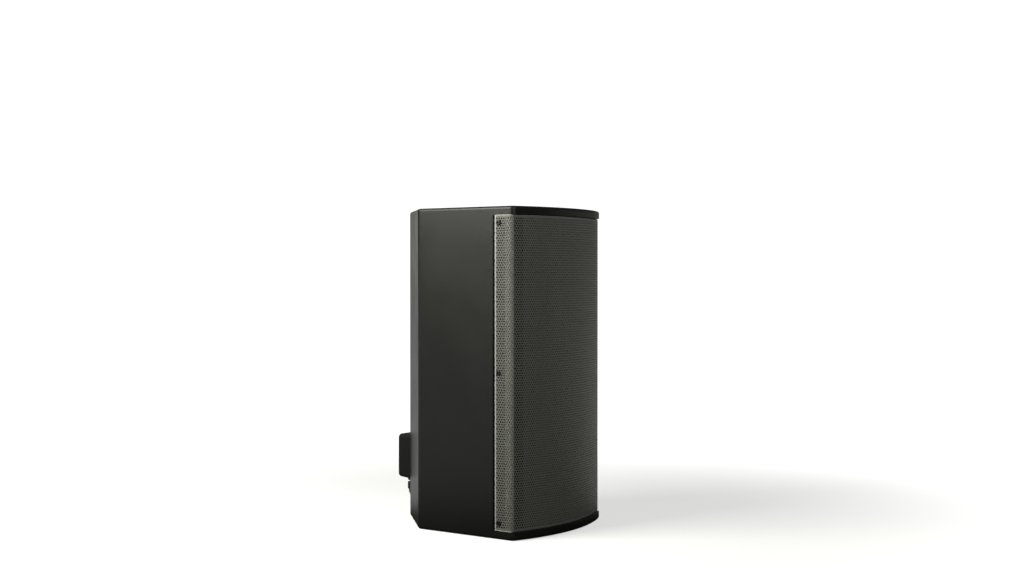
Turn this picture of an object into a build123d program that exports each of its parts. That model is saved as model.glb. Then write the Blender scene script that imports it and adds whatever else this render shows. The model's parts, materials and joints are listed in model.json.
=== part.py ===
from build123d import *

# Two-way loudspeaker cabinet: plywood shell with a curved, wrap-round steel grille, two 8 inch
# woofers, a horn with a compression driver, a passive crossover, and a cable cover on the rear wall.
# Millimetres. +Z is up and the front faces -Y. The origin is on the underside, midway between the
# sides and midway between the front of the caps and the rear wall.

import os
from math import pi, sqrt, tan

# Cabinet
HEIGHT = 590.0
WIDTH = 290.0
SIDE_RUN = 213.0  # straight part of each side, from the front corner to the rear bevel
BEVEL = 105.0  # depth of the 45 degree rear bevels, and how far they come in
FRONT_RISE = 31.0  # how far the curved front stands out past its corners
PLY = 15.0
CORNER_R = 11.0  # upright corners
LIP_R = 5.0  # outer edge of the top and of the base

BODY_DEPTH = FRONT_RISE + SIDE_RUN + BEVEL
HALF = WIDTH / 2
REAR_HALF = HALF - BEVEL
Y_APEX = -BODY_DEPTH / 2
Y_CORNER = Y_APEX + FRONT_RISE
Y_BEVEL = Y_CORNER + SIDE_RUN
Y_REAR = BODY_DEPTH / 2
MITRE = PLY * tan(pi / 8)  # set-back of the inner corner where two walls meet at 45 degrees
FRONT_R = (HALF**2 + FRONT_RISE**2) / (2 * FRONT_RISE)
ARC_Y = Y_APEX + FRONT_R  # centre of the front's curve
MID_HEIGHT = HEIGHT / 2
WALL_HEIGHT = HEIGHT - 2 * PLY
INNER_HALF = HALF - PLY
INNER_REAR = Y_REAR - PLY

# The side walls and the baffle stop short of the caps, which carry the curve
BAFFLE_FRONT = Y_CORNER + 18.5
BAFFLE_BACK = BAFFLE_FRONT + PLY
REBATE_DEPTH = 2.0  # in the outside of each side wall, for the grille's flange
REBATE_BACK = Y_CORNER + 43.5

# Grille, and the acoustic cloth stretched behind its front
SHEET = 1.5
GRILLE_BACK = Y_CORNER + 39.0
GRILLE_INSET = 3.0  # how far the caps stand proud of the curved sheet
GRILLE_GAP = 0.5  # above and below the sheet
GRILLE_HALF = HALF - REBATE_DEPTH + SHEET
BEND_R = 9.0
GRILLE_SCREW_Y = Y_CORNER + 30.8
GRILLE_SCREW_PITCH = MID_HEIGHT - 29.5
GRILLE_SCREW_BITE = 12.0
GRILLE_HEAD = (4.8, 2.2)  # radius and height
M5_R = 2.5
CLOTH = 0.6
CLOTH_GAP = 0.2
CLOTH_HALF = 120.0
CLOTH_MARGIN = 4.0  # from the cloth's ends to the caps

# Woofers. Along a driver's axis, distances are from the baffle's face, positive forwards
WOOFER_HEIGHTS = {"lower": MID_HEIGHT - 165.0, "upper": MID_HEIGHT + 165.0}
CUTOUT_R = 93.0
FLANGE_R = 104.0
FLANGE = 4.0
GASKET = 1.5
WOOFER_SCREW_R = 98.5
WOOFER_SCREW_BITE = 13.0
WOOFER_HEAD = (4.4, 3.5)
LEDGE = 2.5  # seat for the surround's rim, and the height of the cone's rim
COIL_R = 25.0
FORMER = 0.5
SPIDER_SEAT = -42.0
MOTOR_FACE = -62.0
TOP_PLATE = 7.0
BACK_PLATE = -87.0
PLATE_R = 55.0
MAGNET_R = (38.0, 68.0)
VENT_R = 8.0  # through the pole
GAP_R = 27.6  # outer wall of the magnetic gap
POLE_GAP = 0.8  # between the pole and the coil former
POLE_PROUD = 2.0  # of the top plate
CONE_NECK = -37.0
CONE_RIM_R = 76.0
CONE_LIP_R = 80.0  # flat rim that the surround is glued to
CONE_LIP = 1.2
CONE_SLOPE = (LEDGE - CONE_NECK) / (CONE_RIM_R - COIL_R - FORMER)
ROLL_R = 83.5  # middle of the surround's half roll
ROLL = (3.7, 4.5)  # inner and outer radius of the roll
SURROUND_R = 92.3
SPIDER_SPAN = (29.0, 56.0)  # from the first bend to the last
SPIDER_R = 62.5
SPIDER_BENDS = 8
SPIDER_WAVE = 2.4
SPIDER_SKIN = 0.7
TAG_X = 84.5
TAG_Y = BAFFLE_FRONT + 24.0

# Horn and compression driver
HORN_FLANGE = (250.0, 118.0)
HORN_THICK = 5.0
HORN_CUTOUT = (224.0, 98.0)
HORN_SECTIONS = [(0.0, 214.0, 88.0, 10.0), (-25.0, 120.0, 62.0, 14.0), (-55.0, 54.0, 40.0, 14.0)]
THROAT_R = 12.7
THROAT = -85.0
THROAT_FLANGE = 6.0
HORN_WALL = 3.0
HORN_SCREW_R = 2.0
HORN_SCREW_BITE = 11.0
HORN_HEAD = (3.9, 2.6)
HORN_SCREWS = [(sx * 119.0, sz * 53.0) for sx in (-1, 1) for sz in (-1, 0, 1)] + [(0, -53.0), (0, 53.0)]
HF_FACE = THROAT - THROAT_FLANGE
HF_POLE = 8.0
HF_MAGNET_FRONT = HF_FACE - HF_POLE
HF_MAGNET_BACK = HF_MAGNET_FRONT - 14.0
HF_SEAT = HF_MAGNET_BACK - 7.0  # back of the top plate, where the diaphragm is clamped
HF_POLE_TIP = HF_SEAT - 1.0
HF_DOME_R = (22.4, 22.9)  # inside and outside of the coil former
HF_R = 50.0
HF_BOLT_R = 3.0
HF_BOLT_PLACES = 30.0

# Reflex ports, in the baffle's four corners
PORT_R = 20.0
PORT_WALL = 2.0
PORT_RIM = 5.0
PORT_SPACING = (206.0, 506.0)
PORT_LENGTH = 75.0

# Braces
BRACE = 12.0
BRACE_HEIGHTS = (MID_HEIGHT - 60.0, MID_HEIGHT + 60.0)
BRACE_BORDER = 30.0

# Rigging inserts: M8, with the bore drawn at the thread's minor diameter
INSERT_R = 6.0
INSERT_BORE = 3.4
INSERT_LENGTH = 13.0
RIG_X = 125.0
RIG_Y = 70.0
SAFETY_HEIGHT = 520.0

# Crossover board on the base
BOARD = (130.0, 100.0, 1.6)
BOARD_Y = 45.0
SPACER = 12.0
SPACER_R = 4.0
BOARD_SCREW_R = 1.5
BOARD_SCREW_BITE = 8.0
BOARD_HOLES = (BOARD[0] - 16.0, BOARD[1] - 16.0)
BOARD_Z = PLY + SPACER
BOARD_TOP = BOARD_Z + BOARD[2]
COIL_PLACES = (-28.0, 28.0)
CAPACITORS = ((-22.0, -10.0, 8.0, 42.0), (-22.0, -28.0, 8.0, 42.0), (22.0, -10.0, 6.5, 30.0))
RESISTORS = ((26.0, -22.0), (26.0, -35.0))

# Cable cover on the rear wall
COVER_BASE = (70.0, 90.0)
COVER_DRAFT = 3.0  # each side comes in by this much over the cover's depth
COVER_Z = 69.0 + COVER_BASE[1] / 2
COVER_DEPTH = 36.0
COVER_EDGE_R = 5.0  # rounding of the back edge
COVER_POST_R = 4.5
COVER_GASKET = 1.5
COVER_WALL = 2.5
COVER_CORNER = 8.0
COVER_SCREWS = (46.0, 64.0)
COVER_SCREW_R = 2.0
COVER_SCREW_BITE = 12.0
COVER_HEAD = (3.6, 2.0)
WIRING_SLOT = (30.0, 40.0)
INPUT_PLATE = 2.0
STRIP_FOOT = 6.0

# Cable gland, hanging from the cover's underside
GLAND_Y = Y_REAR + 20.0
GLAND_SEAT = 69.0
GLAND_THREAD_R = 10.0
GLAND_NECK_R = 9.7
GLAND_BOSS_R = 12.4
GLAND_COLLAR = 6.0
GLAND_BORE_R = 7.5
SEAL_BORE_R = 5.0

# Internal leads and wadding
LEAD_R = 2.0
LEAD_BEND = 16.0
PAD_SIZE = (18.0, 140.0, 145.0)
PAD_GAP = 0.3
PAD_SHIFT = 17.0  # the pads sit this much nearer mid height than the woofers


def save(piece, name):
    """Labels a finished piece and writes its STEP file."""
    piece.part.label = name
    export_step(piece.part, f"parts/{name}.step")


def face_plane(height):
    """Plane on the baffle's face at a height: local x to the right, y up and z forward."""
    return Plane(origin=(0, BAFFLE_FRONT, height), x_dir=(1, 0, 0), z_dir=(0, -1, 0))


def section_plane(height):
    """Level plane through a driver's axis: local x is the radius and y is forward of the baffle."""
    return Plane(origin=(0, BAFFLE_FRONT, height), x_dir=(1, 0, 0), z_dir=(0, 0, -1))


def rear_plane(height):
    """Plane on the rear wall at a height, facing backwards."""
    return Plane(origin=(0, Y_REAR, height), x_dir=(-1, 0, 0), z_dir=(0, 1, 0))


def flange_plane(side):
    """Plane on the outside of the grille's flange, at mid height, facing outwards."""
    return Plane(origin=(side * GRILLE_HALF, GRILLE_SCREW_Y, MID_HEIGHT), x_dir=(0, 1, 0), z_dir=(side, 0, 0))


def driver_axis(height):
    """Axis of a driver, pointing forwards."""
    return Axis((0, BAFFLE_FRONT, height), (0, -1, 0))


def turned(height, *points):
    """Adds the solid turned from a closed profile of (radius, distance forward of the baffle)."""
    with BuildSketch(section_plane(height)) as profile:
        with BuildLine():
            Polyline(*points, close=True)
        make_face()
    revolve(profile.sketch, axis=driver_axis(height))


def ring(height, inner, outer, back, front):
    """Adds a plain ring round a driver's axis, between two distances forward of the baffle."""
    with BuildSketch(face_plane(height).offset(back)) as profile:
        Circle(outer)
        Circle(inner, mode=Mode.SUBTRACT)
    extrude(profile.sketch, amount=front - back)


def disc_grid(plane, radius, spacing, count, amount, mode=Mode.ADD):
    """Adds or cuts a rectangular grid of round studs, standing on a plane."""
    with BuildSketch(plane) as profile:
        with GridLocations(*spacing, *count):
            Circle(radius)
    extrude(profile.sketch, amount=amount, mode=mode)


def disc_circle(plane, radius, places, count, angle, amount, mode=Mode.ADD):
    """Adds or cuts a circle of round studs, standing on a plane."""
    with BuildSketch(plane) as profile:
        with PolarLocations(places, count, start_angle=angle):
            Circle(radius)
    extrude(profile.sketch, amount=amount, mode=mode)


# ---------------------------------------------------------------- cabinet


def make_outline():
    """The rounded plan outline of the caps."""
    with BuildSketch() as plan:
        with BuildLine():
            Polyline(
                (-HALF, Y_CORNER),
                (-HALF, Y_BEVEL),
                (-REAR_HALF, Y_REAR),
                (REAR_HALF, Y_REAR),
                (HALF, Y_BEVEL),
                (HALF, Y_CORNER),
            )
            ThreePointArc((HALF, Y_CORNER), (0, Y_APEX), (-HALF, Y_CORNER))
        make_face()
        fillet(plan.vertices(), radius=CORNER_R)
    return plan.sketch


OUTLINE = make_outline()


def cap(name, z, outer_face, seat_z):
    """A top or bottom panel: the full outline, its outer lip rounded, with seats for four inserts."""
    with BuildPart() as panel:
        with BuildSketch(Plane.XY.offset(z)):
            add(OUTLINE)
        extrude(amount=PLY)
        fillet(panel.faces().sort_by(Axis.Z)[outer_face].edges(), radius=LIP_R)
        disc_grid(Plane.XY.offset(seat_z), INSERT_R, (RIG_X, RIG_Y), (2, 2), INSERT_LENGTH, Mode.SUBTRACT)
        if name == "bottom_panel":
            bite = Plane((0, BOARD_Y, PLY - BOARD_SCREW_BITE))
            disc_grid(bite, BOARD_SCREW_R, BOARD_HOLES, (2, 2), BOARD_SCREW_BITE, Mode.SUBTRACT)
    save(panel, name)


def wall(*corners):
    """An upright wall between the caps, drawn by its plan corners and rounded where the outline is."""
    with BuildSketch(Plane.XY.offset(PLY)) as plan:
        with BuildLine():
            Polyline(*corners, close=True)
        make_face()
        add(OUTLINE, mode=Mode.INTERSECT)
    extrude(plan.sketch, amount=WALL_HEIGHT)


def side_panel(name, side):
    """A side wall, rebated outside for the grille's flange."""
    with BuildPart() as panel:
        wall(
            (side * HALF, BAFFLE_FRONT),
            (side * INNER_HALF, BAFFLE_FRONT),
            (side * INNER_HALF, Y_BEVEL - MITRE),
            (side * HALF, Y_BEVEL),
        )
        with BuildSketch(Plane.XY.offset(PLY)):
            with Locations((side * (HALF - REBATE_DEPTH / 2), (BAFFLE_FRONT + REBATE_BACK) / 2)):
                Rectangle(REBATE_DEPTH, REBATE_BACK - BAFFLE_FRONT)
        extrude(amount=WALL_HEIGHT, mode=Mode.SUBTRACT)
        bite = -(GRILLE_SCREW_BITE + SHEET)
        disc_grid(flange_plane(side), M5_R, (1, GRILLE_SCREW_PITCH), (1, 3), bite, Mode.SUBTRACT)
    save(panel, name)


def bevel_panel(name, side):
    """A rear wall at 45 degrees, mitred to the side wall and to the rear wall."""
    with BuildPart() as panel:
        wall(
            (side * HALF, Y_BEVEL),
            (side * INNER_HALF, Y_BEVEL - MITRE),
            (side * (REAR_HALF - MITRE), INNER_REAR),
            (side * REAR_HALF, Y_REAR),
        )
    save(panel, name)


def rear_panel():
    """The narrow rear wall, with a wiring slot behind the cable cover and a seat for one insert."""
    with BuildPart() as panel:
        wall(
            (-REAR_HALF, Y_REAR),
            (-(REAR_HALF - MITRE), INNER_REAR),
            (REAR_HALF - MITRE, INNER_REAR),
            (REAR_HALF, Y_REAR),
        )
        with BuildSketch(rear_plane(COVER_Z)):
            RectangleRounded(*WIRING_SLOT, radius=4)
        extrude(amount=-PLY, mode=Mode.SUBTRACT)
        disc_grid(rear_plane(COVER_Z), COVER_SCREW_R, COVER_SCREWS, (2, 2), -COVER_SCREW_BITE, Mode.SUBTRACT)
        disc_grid(rear_plane(SAFETY_HEIGHT), INSERT_R, (1, 1), (1, 1), -INSERT_LENGTH, Mode.SUBTRACT)
    save(panel, "rear_panel")


def baffle():
    """The flat front wall that carries the drivers and ports."""
    with BuildPart() as panel:
        with BuildSketch(face_plane(MID_HEIGHT)):
            Rectangle(2 * INNER_HALF, WALL_HEIGHT)
            RectangleRounded(*HORN_CUTOUT, radius=14, mode=Mode.SUBTRACT)
            with GridLocations(*PORT_SPACING, 2, 2):
                Circle(PORT_R + PORT_WALL, mode=Mode.SUBTRACT)
        extrude(amount=-PLY)
        for height in WOOFER_HEIGHTS.values():
            face = face_plane(height)
            disc_grid(face, CUTOUT_R, (1, 1), (1, 1), -PLY, Mode.SUBTRACT)
            disc_circle(face, M5_R, WOOFER_SCREW_R, 8, 22.5, -WOOFER_SCREW_BITE, Mode.SUBTRACT)
        with BuildSketch(face_plane(MID_HEIGHT)):
            with Locations(*HORN_SCREWS):
                Circle(HORN_SCREW_R)
        extrude(amount=-HORN_SCREW_BITE, mode=Mode.SUBTRACT)
    save(panel, "baffle")


def braces():
    """Two level frames that tie the walls together, open in the middle."""
    with BuildPart() as frames:
        for height in BRACE_HEIGHTS:
            with BuildSketch(Plane.XY.offset(height - BRACE / 2)):
                with BuildLine():
                    Polyline(
                        (-INNER_HALF, BAFFLE_BACK),
                        (-INNER_HALF, Y_BEVEL - MITRE),
                        (-(REAR_HALF - MITRE), INNER_REAR),
                        (REAR_HALF - MITRE, INNER_REAR),
                        (INNER_HALF, Y_BEVEL - MITRE),
                        (INNER_HALF, BAFFLE_BACK),
                        close=True,
                    )
                outer = make_face()
                offset(outer, amount=-BRACE_BORDER, mode=Mode.SUBTRACT)
            extrude(amount=BRACE)
    save(frames, "braces")


def rigging_inserts():
    """Threaded inserts: four in the top, four in the base and one high on the rear wall."""
    with BuildPart() as inserts:
        for z in (0.0, HEIGHT - INSERT_LENGTH):
            disc_grid(Plane.XY.offset(z), INSERT_R, (RIG_X, RIG_Y), (2, 2), INSERT_LENGTH)
            disc_grid(Plane.XY.offset(z), INSERT_BORE, (RIG_X, RIG_Y), (2, 2), INSERT_LENGTH, Mode.SUBTRACT)
        disc_grid(rear_plane(SAFETY_HEIGHT), INSERT_R, (1, 1), (1, 1), -INSERT_LENGTH)
        disc_grid(rear_plane(SAFETY_HEIGHT), INSERT_BORE, (1, 1), (1, 1), -INSERT_LENGTH, Mode.SUBTRACT)
    save(inserts, "rigging_inserts")


# ---------------------------------------------------------------- grille


def sheet_plan(half, radius, bend, back):
    """Plan of the space inside a wrap-round sheet: a curved front between two straight flanges."""
    corner = ARC_Y - sqrt(radius**2 - half**2)
    with BuildSketch(Plane.XY.offset(PLY + GRILLE_GAP)) as plan:
        with BuildLine():
            Polyline((-half, corner), (-half, back), (half, back), (half, corner))
            ThreePointArc((half, corner), (0, ARC_Y - radius), (-half, corner))
        make_face()
        fillet(plan.vertices().group_by(Axis.Y)[0], radius=bend)
    return plan.sketch


def grille():
    """The perforated grille as a plain folded sheet, and the acoustic cloth behind its front."""
    radius = FRONT_R - GRILLE_INSET
    outside = sheet_plan(GRILLE_HALF, radius, BEND_R, GRILLE_BACK)
    inside = sheet_plan(GRILLE_HALF - SHEET, radius - SHEET, BEND_R - SHEET, GRILLE_BACK)
    with BuildPart() as sheet:
        extrude(outside, amount=WALL_HEIGHT - 2 * GRILLE_GAP)
        extrude(inside, amount=WALL_HEIGHT - 2 * GRILLE_GAP, mode=Mode.SUBTRACT)
        for side in (-1, 1):
            disc_grid(flange_plane(side), M5_R, (1, GRILLE_SCREW_PITCH), (1, 3), -SHEET, Mode.SUBTRACT)
    save(sheet, "grille")

    near = radius - SHEET - CLOTH_GAP
    with BuildPart() as cloth:
        with BuildSketch(Plane.XY.offset(PLY + CLOTH_MARGIN)):
            with Locations((0, ARC_Y)):
                Circle(near)
                Circle(near - CLOTH, mode=Mode.SUBTRACT)
            with Locations((0, ARC_Y - near)):
                Rectangle(2 * CLOTH_HALF, near, mode=Mode.INTERSECT)
        extrude(amount=WALL_HEIGHT - 2 * CLOTH_MARGIN)
    save(cloth, "grille_cloth")


def grille_screws():
    """Three pan head screws through each flange of the grille."""
    head_r, head = GRILLE_HEAD
    with BuildPart() as screws:
        for side in (-1, 1):
            plane = flange_plane(side)
            disc_grid(plane, head_r, (1, GRILLE_SCREW_PITCH), (1, 3), head)
            disc_grid(plane, M5_R, (1, GRILLE_SCREW_PITCH), (1, 3), -(GRILLE_SCREW_BITE + SHEET))
    save(screws, "grille_screws")


# ---------------------------------------------------------------- woofers


def basket(name, height):
    """Pressed basket: front flange, six windows, a seat for the spider and one for the motor."""
    with BuildPart() as frame:
        turned(
            height,
            (FLANGE_R, GASKET),
            (FLANGE_R, GASKET + FLANGE),
            (92.5, GASKET + FLANGE),
            (92.5, LEDGE),
            (86, LEDGE),
            (86, -3),
            (63, -38),
            (63, SPIDER_SEAT),
            (57, SPIDER_SEAT),
            (57, -48),
            (50, -59),
            (30, -59),
            (30, MOTOR_FACE),
            (53, MOTOR_FACE),
            (60, -50),
            (66, -40),
            (89, -5),
            (89, GASKET),
        )
        with BuildSketch(face_plane(height).offset(-41)):
            with PolarLocations(76, 6, start_angle=30):
                RectangleRounded(16, 46, radius=5)
        extrude(amount=38, mode=Mode.SUBTRACT)
        disc_circle(face_plane(height).offset(GASKET), M5_R, WOOFER_SCREW_R, 8, 22.5, FLANGE, Mode.SUBTRACT)
    save(frame, f"{name}_basket")


def woofer_motor(name, height):
    """Top plate, ferrite ring, and back plate with its vented pole."""
    with BuildPart() as top_plate:
        ring(height, GAP_R, PLATE_R, MOTOR_FACE - TOP_PLATE, MOTOR_FACE)
    save(top_plate, f"{name}_top_plate")
    with BuildPart() as magnet:
        ring(height, *MAGNET_R, BACK_PLATE, MOTOR_FACE - TOP_PLATE)
    save(magnet, f"{name}_magnet")
    with BuildPart() as pole_plate:
        ring(height, VENT_R, PLATE_R, BACK_PLATE - TOP_PLATE, BACK_PLATE)
        ring(height, VENT_R, COIL_R - POLE_GAP, BACK_PLATE, MOTOR_FACE + POLE_PROUD)
    save(pole_plate, f"{name}_pole_plate")


def woofer_cone(name, height):
    """The moving parts: cone, dust cap, and coil wound on its former."""
    neck = COIL_R + FORMER
    with BuildPart() as cone:
        turned(
            height,
            (neck, CONE_NECK),
            (CONE_RIM_R, LEDGE),
            (CONE_LIP_R, LEDGE),
            (CONE_LIP_R, LEDGE - CONE_LIP),
            (CONE_RIM_R + 0.6, LEDGE - CONE_LIP),
            (neck, CONE_NECK - 1.6),
        )
    save(cone, f"{name}_cone")

    rim_out = (neck + 3, CONE_NECK + 3 * CONE_SLOPE)
    rim_in = (neck + 2, CONE_NECK + 2 * CONE_SLOPE)
    with BuildPart() as dust_cap:
        with BuildSketch(section_plane(height)):
            with BuildLine():
                TangentArc((0, -26), rim_out, tangent=(1, 0))
                Line(rim_out, rim_in)
                TangentArc((0, -27), rim_in, tangent=(1, 0))
                Line((0, -27), (0, -26))
            make_face()
        revolve(axis=driver_axis(height))
    save(dust_cap, f"{name}_dust_cap")

    with BuildPart() as coil:
        turned(
            height,
            (COIL_R, -36.5),
            (neck, -36.5),
            (neck, -59),
            (neck + 1.1, -59),
            (neck + 1.1, -73),
            (neck, -73),
            (neck, -76),
            (COIL_R, -76),
        )
    save(coil, f"{name}_voice_coil")


def woofer_suspension(name, height):
    """The half roll surround at the cone's rim and the corrugated spider at its neck."""
    inner, outer = ROLL
    skin = outer - inner
    lift = sqrt(outer**2 - skin**2)
    with BuildPart() as surround:
        with BuildSketch(section_plane(height)):
            with BuildLine():
                Line((CONE_RIM_R + 0.5, LEDGE), (ROLL_R - inner, LEDGE))
                ThreePointArc((ROLL_R - inner, LEDGE), (ROLL_R, LEDGE + inner), (ROLL_R + inner, LEDGE))
                Polyline(
                    (ROLL_R + inner, LEDGE),
                    (SURROUND_R, LEDGE),
                    (SURROUND_R, LEDGE + skin),
                    (ROLL_R + lift, LEDGE + skin),
                )
                ThreePointArc(
                    (ROLL_R + lift, LEDGE + skin), (ROLL_R, LEDGE + outer), (ROLL_R - lift, LEDGE + skin)
                )
                Polyline(
                    (ROLL_R - lift, LEDGE + skin), (CONE_RIM_R + 0.5, LEDGE + skin), (CONE_RIM_R + 0.5, LEDGE)
                )
            make_face()
        revolve(axis=driver_axis(height))
    save(surround, f"{name}_surround")

    first, last = SPIDER_SPAN
    step = (last - first) / SPIDER_BENDS
    waves = [(first + i * step, SPIDER_SEAT + SPIDER_WAVE * (i % 2)) for i in range(SPIDER_BENDS + 1)]
    under = [(COIL_R + FORMER + 0.1, SPIDER_SEAT)] + waves + [(SPIDER_R, SPIDER_SEAT)]
    over = [(r, z + SPIDER_SKIN) for r, z in reversed(under)]
    with BuildPart() as spider:
        turned(height, *under, *over)
    save(spider, f"{name}_spider")


def woofer_hardware():
    """Gaskets, mounting screws and terminal strips of both woofers."""
    front = GASKET + FLANGE
    head_r, head = WOOFER_HEAD
    with BuildPart() as gaskets:
        for height in WOOFER_HEIGHTS.values():
            ring(height, 89.5, FLANGE_R, 0, GASKET)
            disc_circle(face_plane(height), M5_R, WOOFER_SCREW_R, 8, 22.5, GASKET, Mode.SUBTRACT)
    save(gaskets, "woofer_gaskets")
    with BuildPart() as screws:
        for height in WOOFER_HEIGHTS.values():
            face = face_plane(height)
            bite = WOOFER_SCREW_BITE
            disc_circle(face.offset(-bite), M5_R, WOOFER_SCREW_R, 8, 22.5, bite + front)
            disc_circle(face.offset(front), head_r, WOOFER_SCREW_R, 8, 22.5, head)
    save(screws, "woofer_screws")
    with BuildPart() as terminals:
        for height in WOOFER_HEIGHTS.values():
            with BuildSketch(section_plane(height)):
                with BuildLine():
                    Polyline((82.43, -15), (72.57, -30), (75.08, -31.65), (84.94, -16.65), close=True)
                make_face()
            extrude(amount=11, both=True)
            with BuildSketch(Plane.XY.offset(height - 3.2)):
                with Locations((TAG_X, TAG_Y)):
                    Rectangle(9, 0.8)
            extrude(amount=6.4)
    save(terminals, "woofer_terminals")


# ---------------------------------------------------------------- horn and compression driver


def horn():
    """Moulded horn: front flange, flare and throat flange, with its eight screws."""
    face = face_plane(MID_HEIGHT)
    throat = face.offset(THROAT)
    with BuildPart() as body:
        for depth, wide, high, corner in HORN_SECTIONS:
            with BuildSketch(face.offset(depth)):
                RectangleRounded(wide + 2 * HORN_WALL, high + 2 * HORN_WALL, radius=corner + HORN_WALL)
        with BuildSketch(throat):
            RectangleRounded(2 * (THROAT_R + HORN_WALL), 2 * (THROAT_R + HORN_WALL), radius=THROAT_R + 2)
        loft()
        with BuildSketch(face):
            RectangleRounded(*HORN_FLANGE, radius=8)
        extrude(amount=HORN_THICK)
        with BuildSketch(throat):
            Circle(38)
        extrude(amount=-THROAT_FLANGE)
        for depth, wide, high, corner in HORN_SECTIONS:
            with BuildSketch(face.offset(depth)):
                RectangleRounded(wide, high, radius=corner)
        with BuildSketch(throat):
            RectangleRounded(2 * THROAT_R, 2 * THROAT_R, radius=THROAT_R - 1)
        loft(mode=Mode.SUBTRACT)
        with BuildSketch(face):
            RectangleRounded(*HORN_SECTIONS[0][1:3], radius=HORN_SECTIONS[0][3])
        extrude(amount=HORN_THICK, mode=Mode.SUBTRACT)
        with BuildSketch(throat):
            Circle(THROAT_R)
        extrude(amount=-THROAT_FLANGE, mode=Mode.SUBTRACT)
        with BuildSketch(face):
            with Locations(*HORN_SCREWS):
                Circle(HORN_SCREW_R)
        extrude(amount=HORN_THICK, mode=Mode.SUBTRACT)
        disc_circle(throat, HF_BOLT_R, HF_BOLT_PLACES, 3, 90, -THROAT_FLANGE, Mode.SUBTRACT)
    save(body, "horn")
    head_r, head = HORN_HEAD
    with BuildPart() as screws:
        with BuildSketch(face.offset(-HORN_SCREW_BITE)):
            with Locations(*HORN_SCREWS):
                Circle(HORN_SCREW_R)
        extrude(amount=HORN_SCREW_BITE + HORN_THICK)
        with BuildSketch(face.offset(HORN_THICK)):
            with Locations(*HORN_SCREWS):
                Circle(head_r)
        extrude(amount=head)
    save(screws, "horn_screws")


def compression_motor():
    """Pole plate, ferrite ring, top plate and the bolts that hold the driver to the horn."""
    throat = face_plane(MID_HEIGHT).offset(THROAT)
    with BuildPart() as pole:
        turned(
            MID_HEIGHT,
            (THROAT_R, HF_FACE),
            (HF_R, HF_FACE),
            (HF_R, HF_MAGNET_FRONT),
            (22, HF_MAGNET_FRONT),
            (22, HF_POLE_TIP),
            (20, HF_POLE_TIP),
            (20, HF_FACE - 25),
        )
        disc_circle(throat.offset(-THROAT_FLANGE), HF_BOLT_R, HF_BOLT_PLACES, 3, 90, -HF_POLE, Mode.SUBTRACT)
    save(pole, "hf_pole_plate")
    with BuildPart() as magnet:
        ring(MID_HEIGHT, 28, HF_R, HF_MAGNET_BACK, HF_MAGNET_FRONT)
    save(magnet, "hf_magnet")
    with BuildPart() as top_plate:
        ring(MID_HEIGHT, 23.5, HF_R, HF_SEAT, HF_MAGNET_BACK)
    save(top_plate, "hf_top_plate")
    with BuildPart() as bolts:
        bite = THROAT_FLANGE + HF_POLE
        disc_circle(throat.offset(-bite), HF_BOLT_R, HF_BOLT_PLACES, 3, 90, bite)
        with BuildSketch(throat):
            with PolarLocations(HF_BOLT_PLACES, 3, start_angle=90):
                RegularPolygon(radius=5.5, side_count=6)
        extrude(amount=4)
    save(bolts, "hf_bolts")


def compression_diaphragm():
    """Phase plug, dome on its coil former, the ring it is hung from, and the rear cap."""
    with BuildPart() as plug:
        turned(
            MID_HEIGHT,
            (0, HF_FACE - 4),
            (16.5, HF_FACE - 26),
            (17, HF_POLE_TIP),
            (16, HF_FACE - 32),
            (9, HF_FACE - 35.5),
            (0, HF_FACE - 37),
        )
        ring(MID_HEIGHT, 18.8, 20, HF_POLE_TIP, HF_FACE - 26)
        with BuildSketch(face_plane(MID_HEIGHT).offset(HF_POLE_TIP)):
            with PolarLocations(17.6, 3, start_angle=30):
                Rectangle(3.2, 1.6)
        extrude(amount=4)
    save(plug, "hf_phase_plug")
    inner, outer = HF_DOME_R
    with BuildPart() as diaphragm:
        with BuildSketch(section_plane(MID_HEIGHT)):
            with BuildLine():
                Polyline((inner, HF_FACE - 32.7), (inner, HF_FACE - 23.5), (outer, HF_FACE - 23.5))
                Line((outer, HF_FACE - 23.5), (outer, HF_FACE - 33.2))
                TangentArc((0, HF_FACE - 39.2), (outer, HF_FACE - 33.2), tangent=(1, 0))
                Line((0, HF_FACE - 39.2), (0, HF_FACE - 38.7))
                TangentArc((0, HF_FACE - 38.7), (inner, HF_FACE - 32.7), tangent=(1, 0))
            make_face()
        revolve(axis=driver_axis(MID_HEIGHT))
    save(diaphragm, "hf_diaphragm")
    with BuildPart() as suspension:
        turned(
            MID_HEIGHT,
            (23.0, HF_FACE - 30.2),
            (26, HF_SEAT),
            (38.5, HF_SEAT),
            (38.5, HF_FACE - 31),
            (27, HF_FACE - 31),
            (27, HF_FACE - 29.6),
            (26, HF_FACE - 29.6),
            (23.0, HF_FACE - 30.8),
        )
    save(suspension, "hf_suspension")
    with BuildPart() as rear_cap:
        turned(
            MID_HEIGHT,
            (42, HF_SEAT),
            (42, HF_FACE - 46),
            (39, HF_FACE - 49),
            (0, HF_FACE - 49),
            (0, HF_FACE - 46),
            (38, HF_FACE - 46),
            (39, HF_FACE - 45),
            (39, HF_SEAT),
        )
    save(rear_cap, "hf_rear_cap")


# ---------------------------------------------------------------- ports, crossover, leads, wadding


def reflex_ports():
    """Four flanged port tubes in the baffle's corners."""
    face = face_plane(MID_HEIGHT)
    with BuildPart() as ports:
        disc_grid(face.offset(-PORT_LENGTH), PORT_R + PORT_WALL, PORT_SPACING, (2, 2), PORT_LENGTH)
        disc_grid(face, PORT_R + PORT_RIM, PORT_SPACING, (2, 2), 2)
        through = PORT_LENGTH + 2
        disc_grid(face.offset(-PORT_LENGTH), PORT_R, PORT_SPACING, (2, 2), through, Mode.SUBTRACT)
    save(ports, "reflex_ports")


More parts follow.
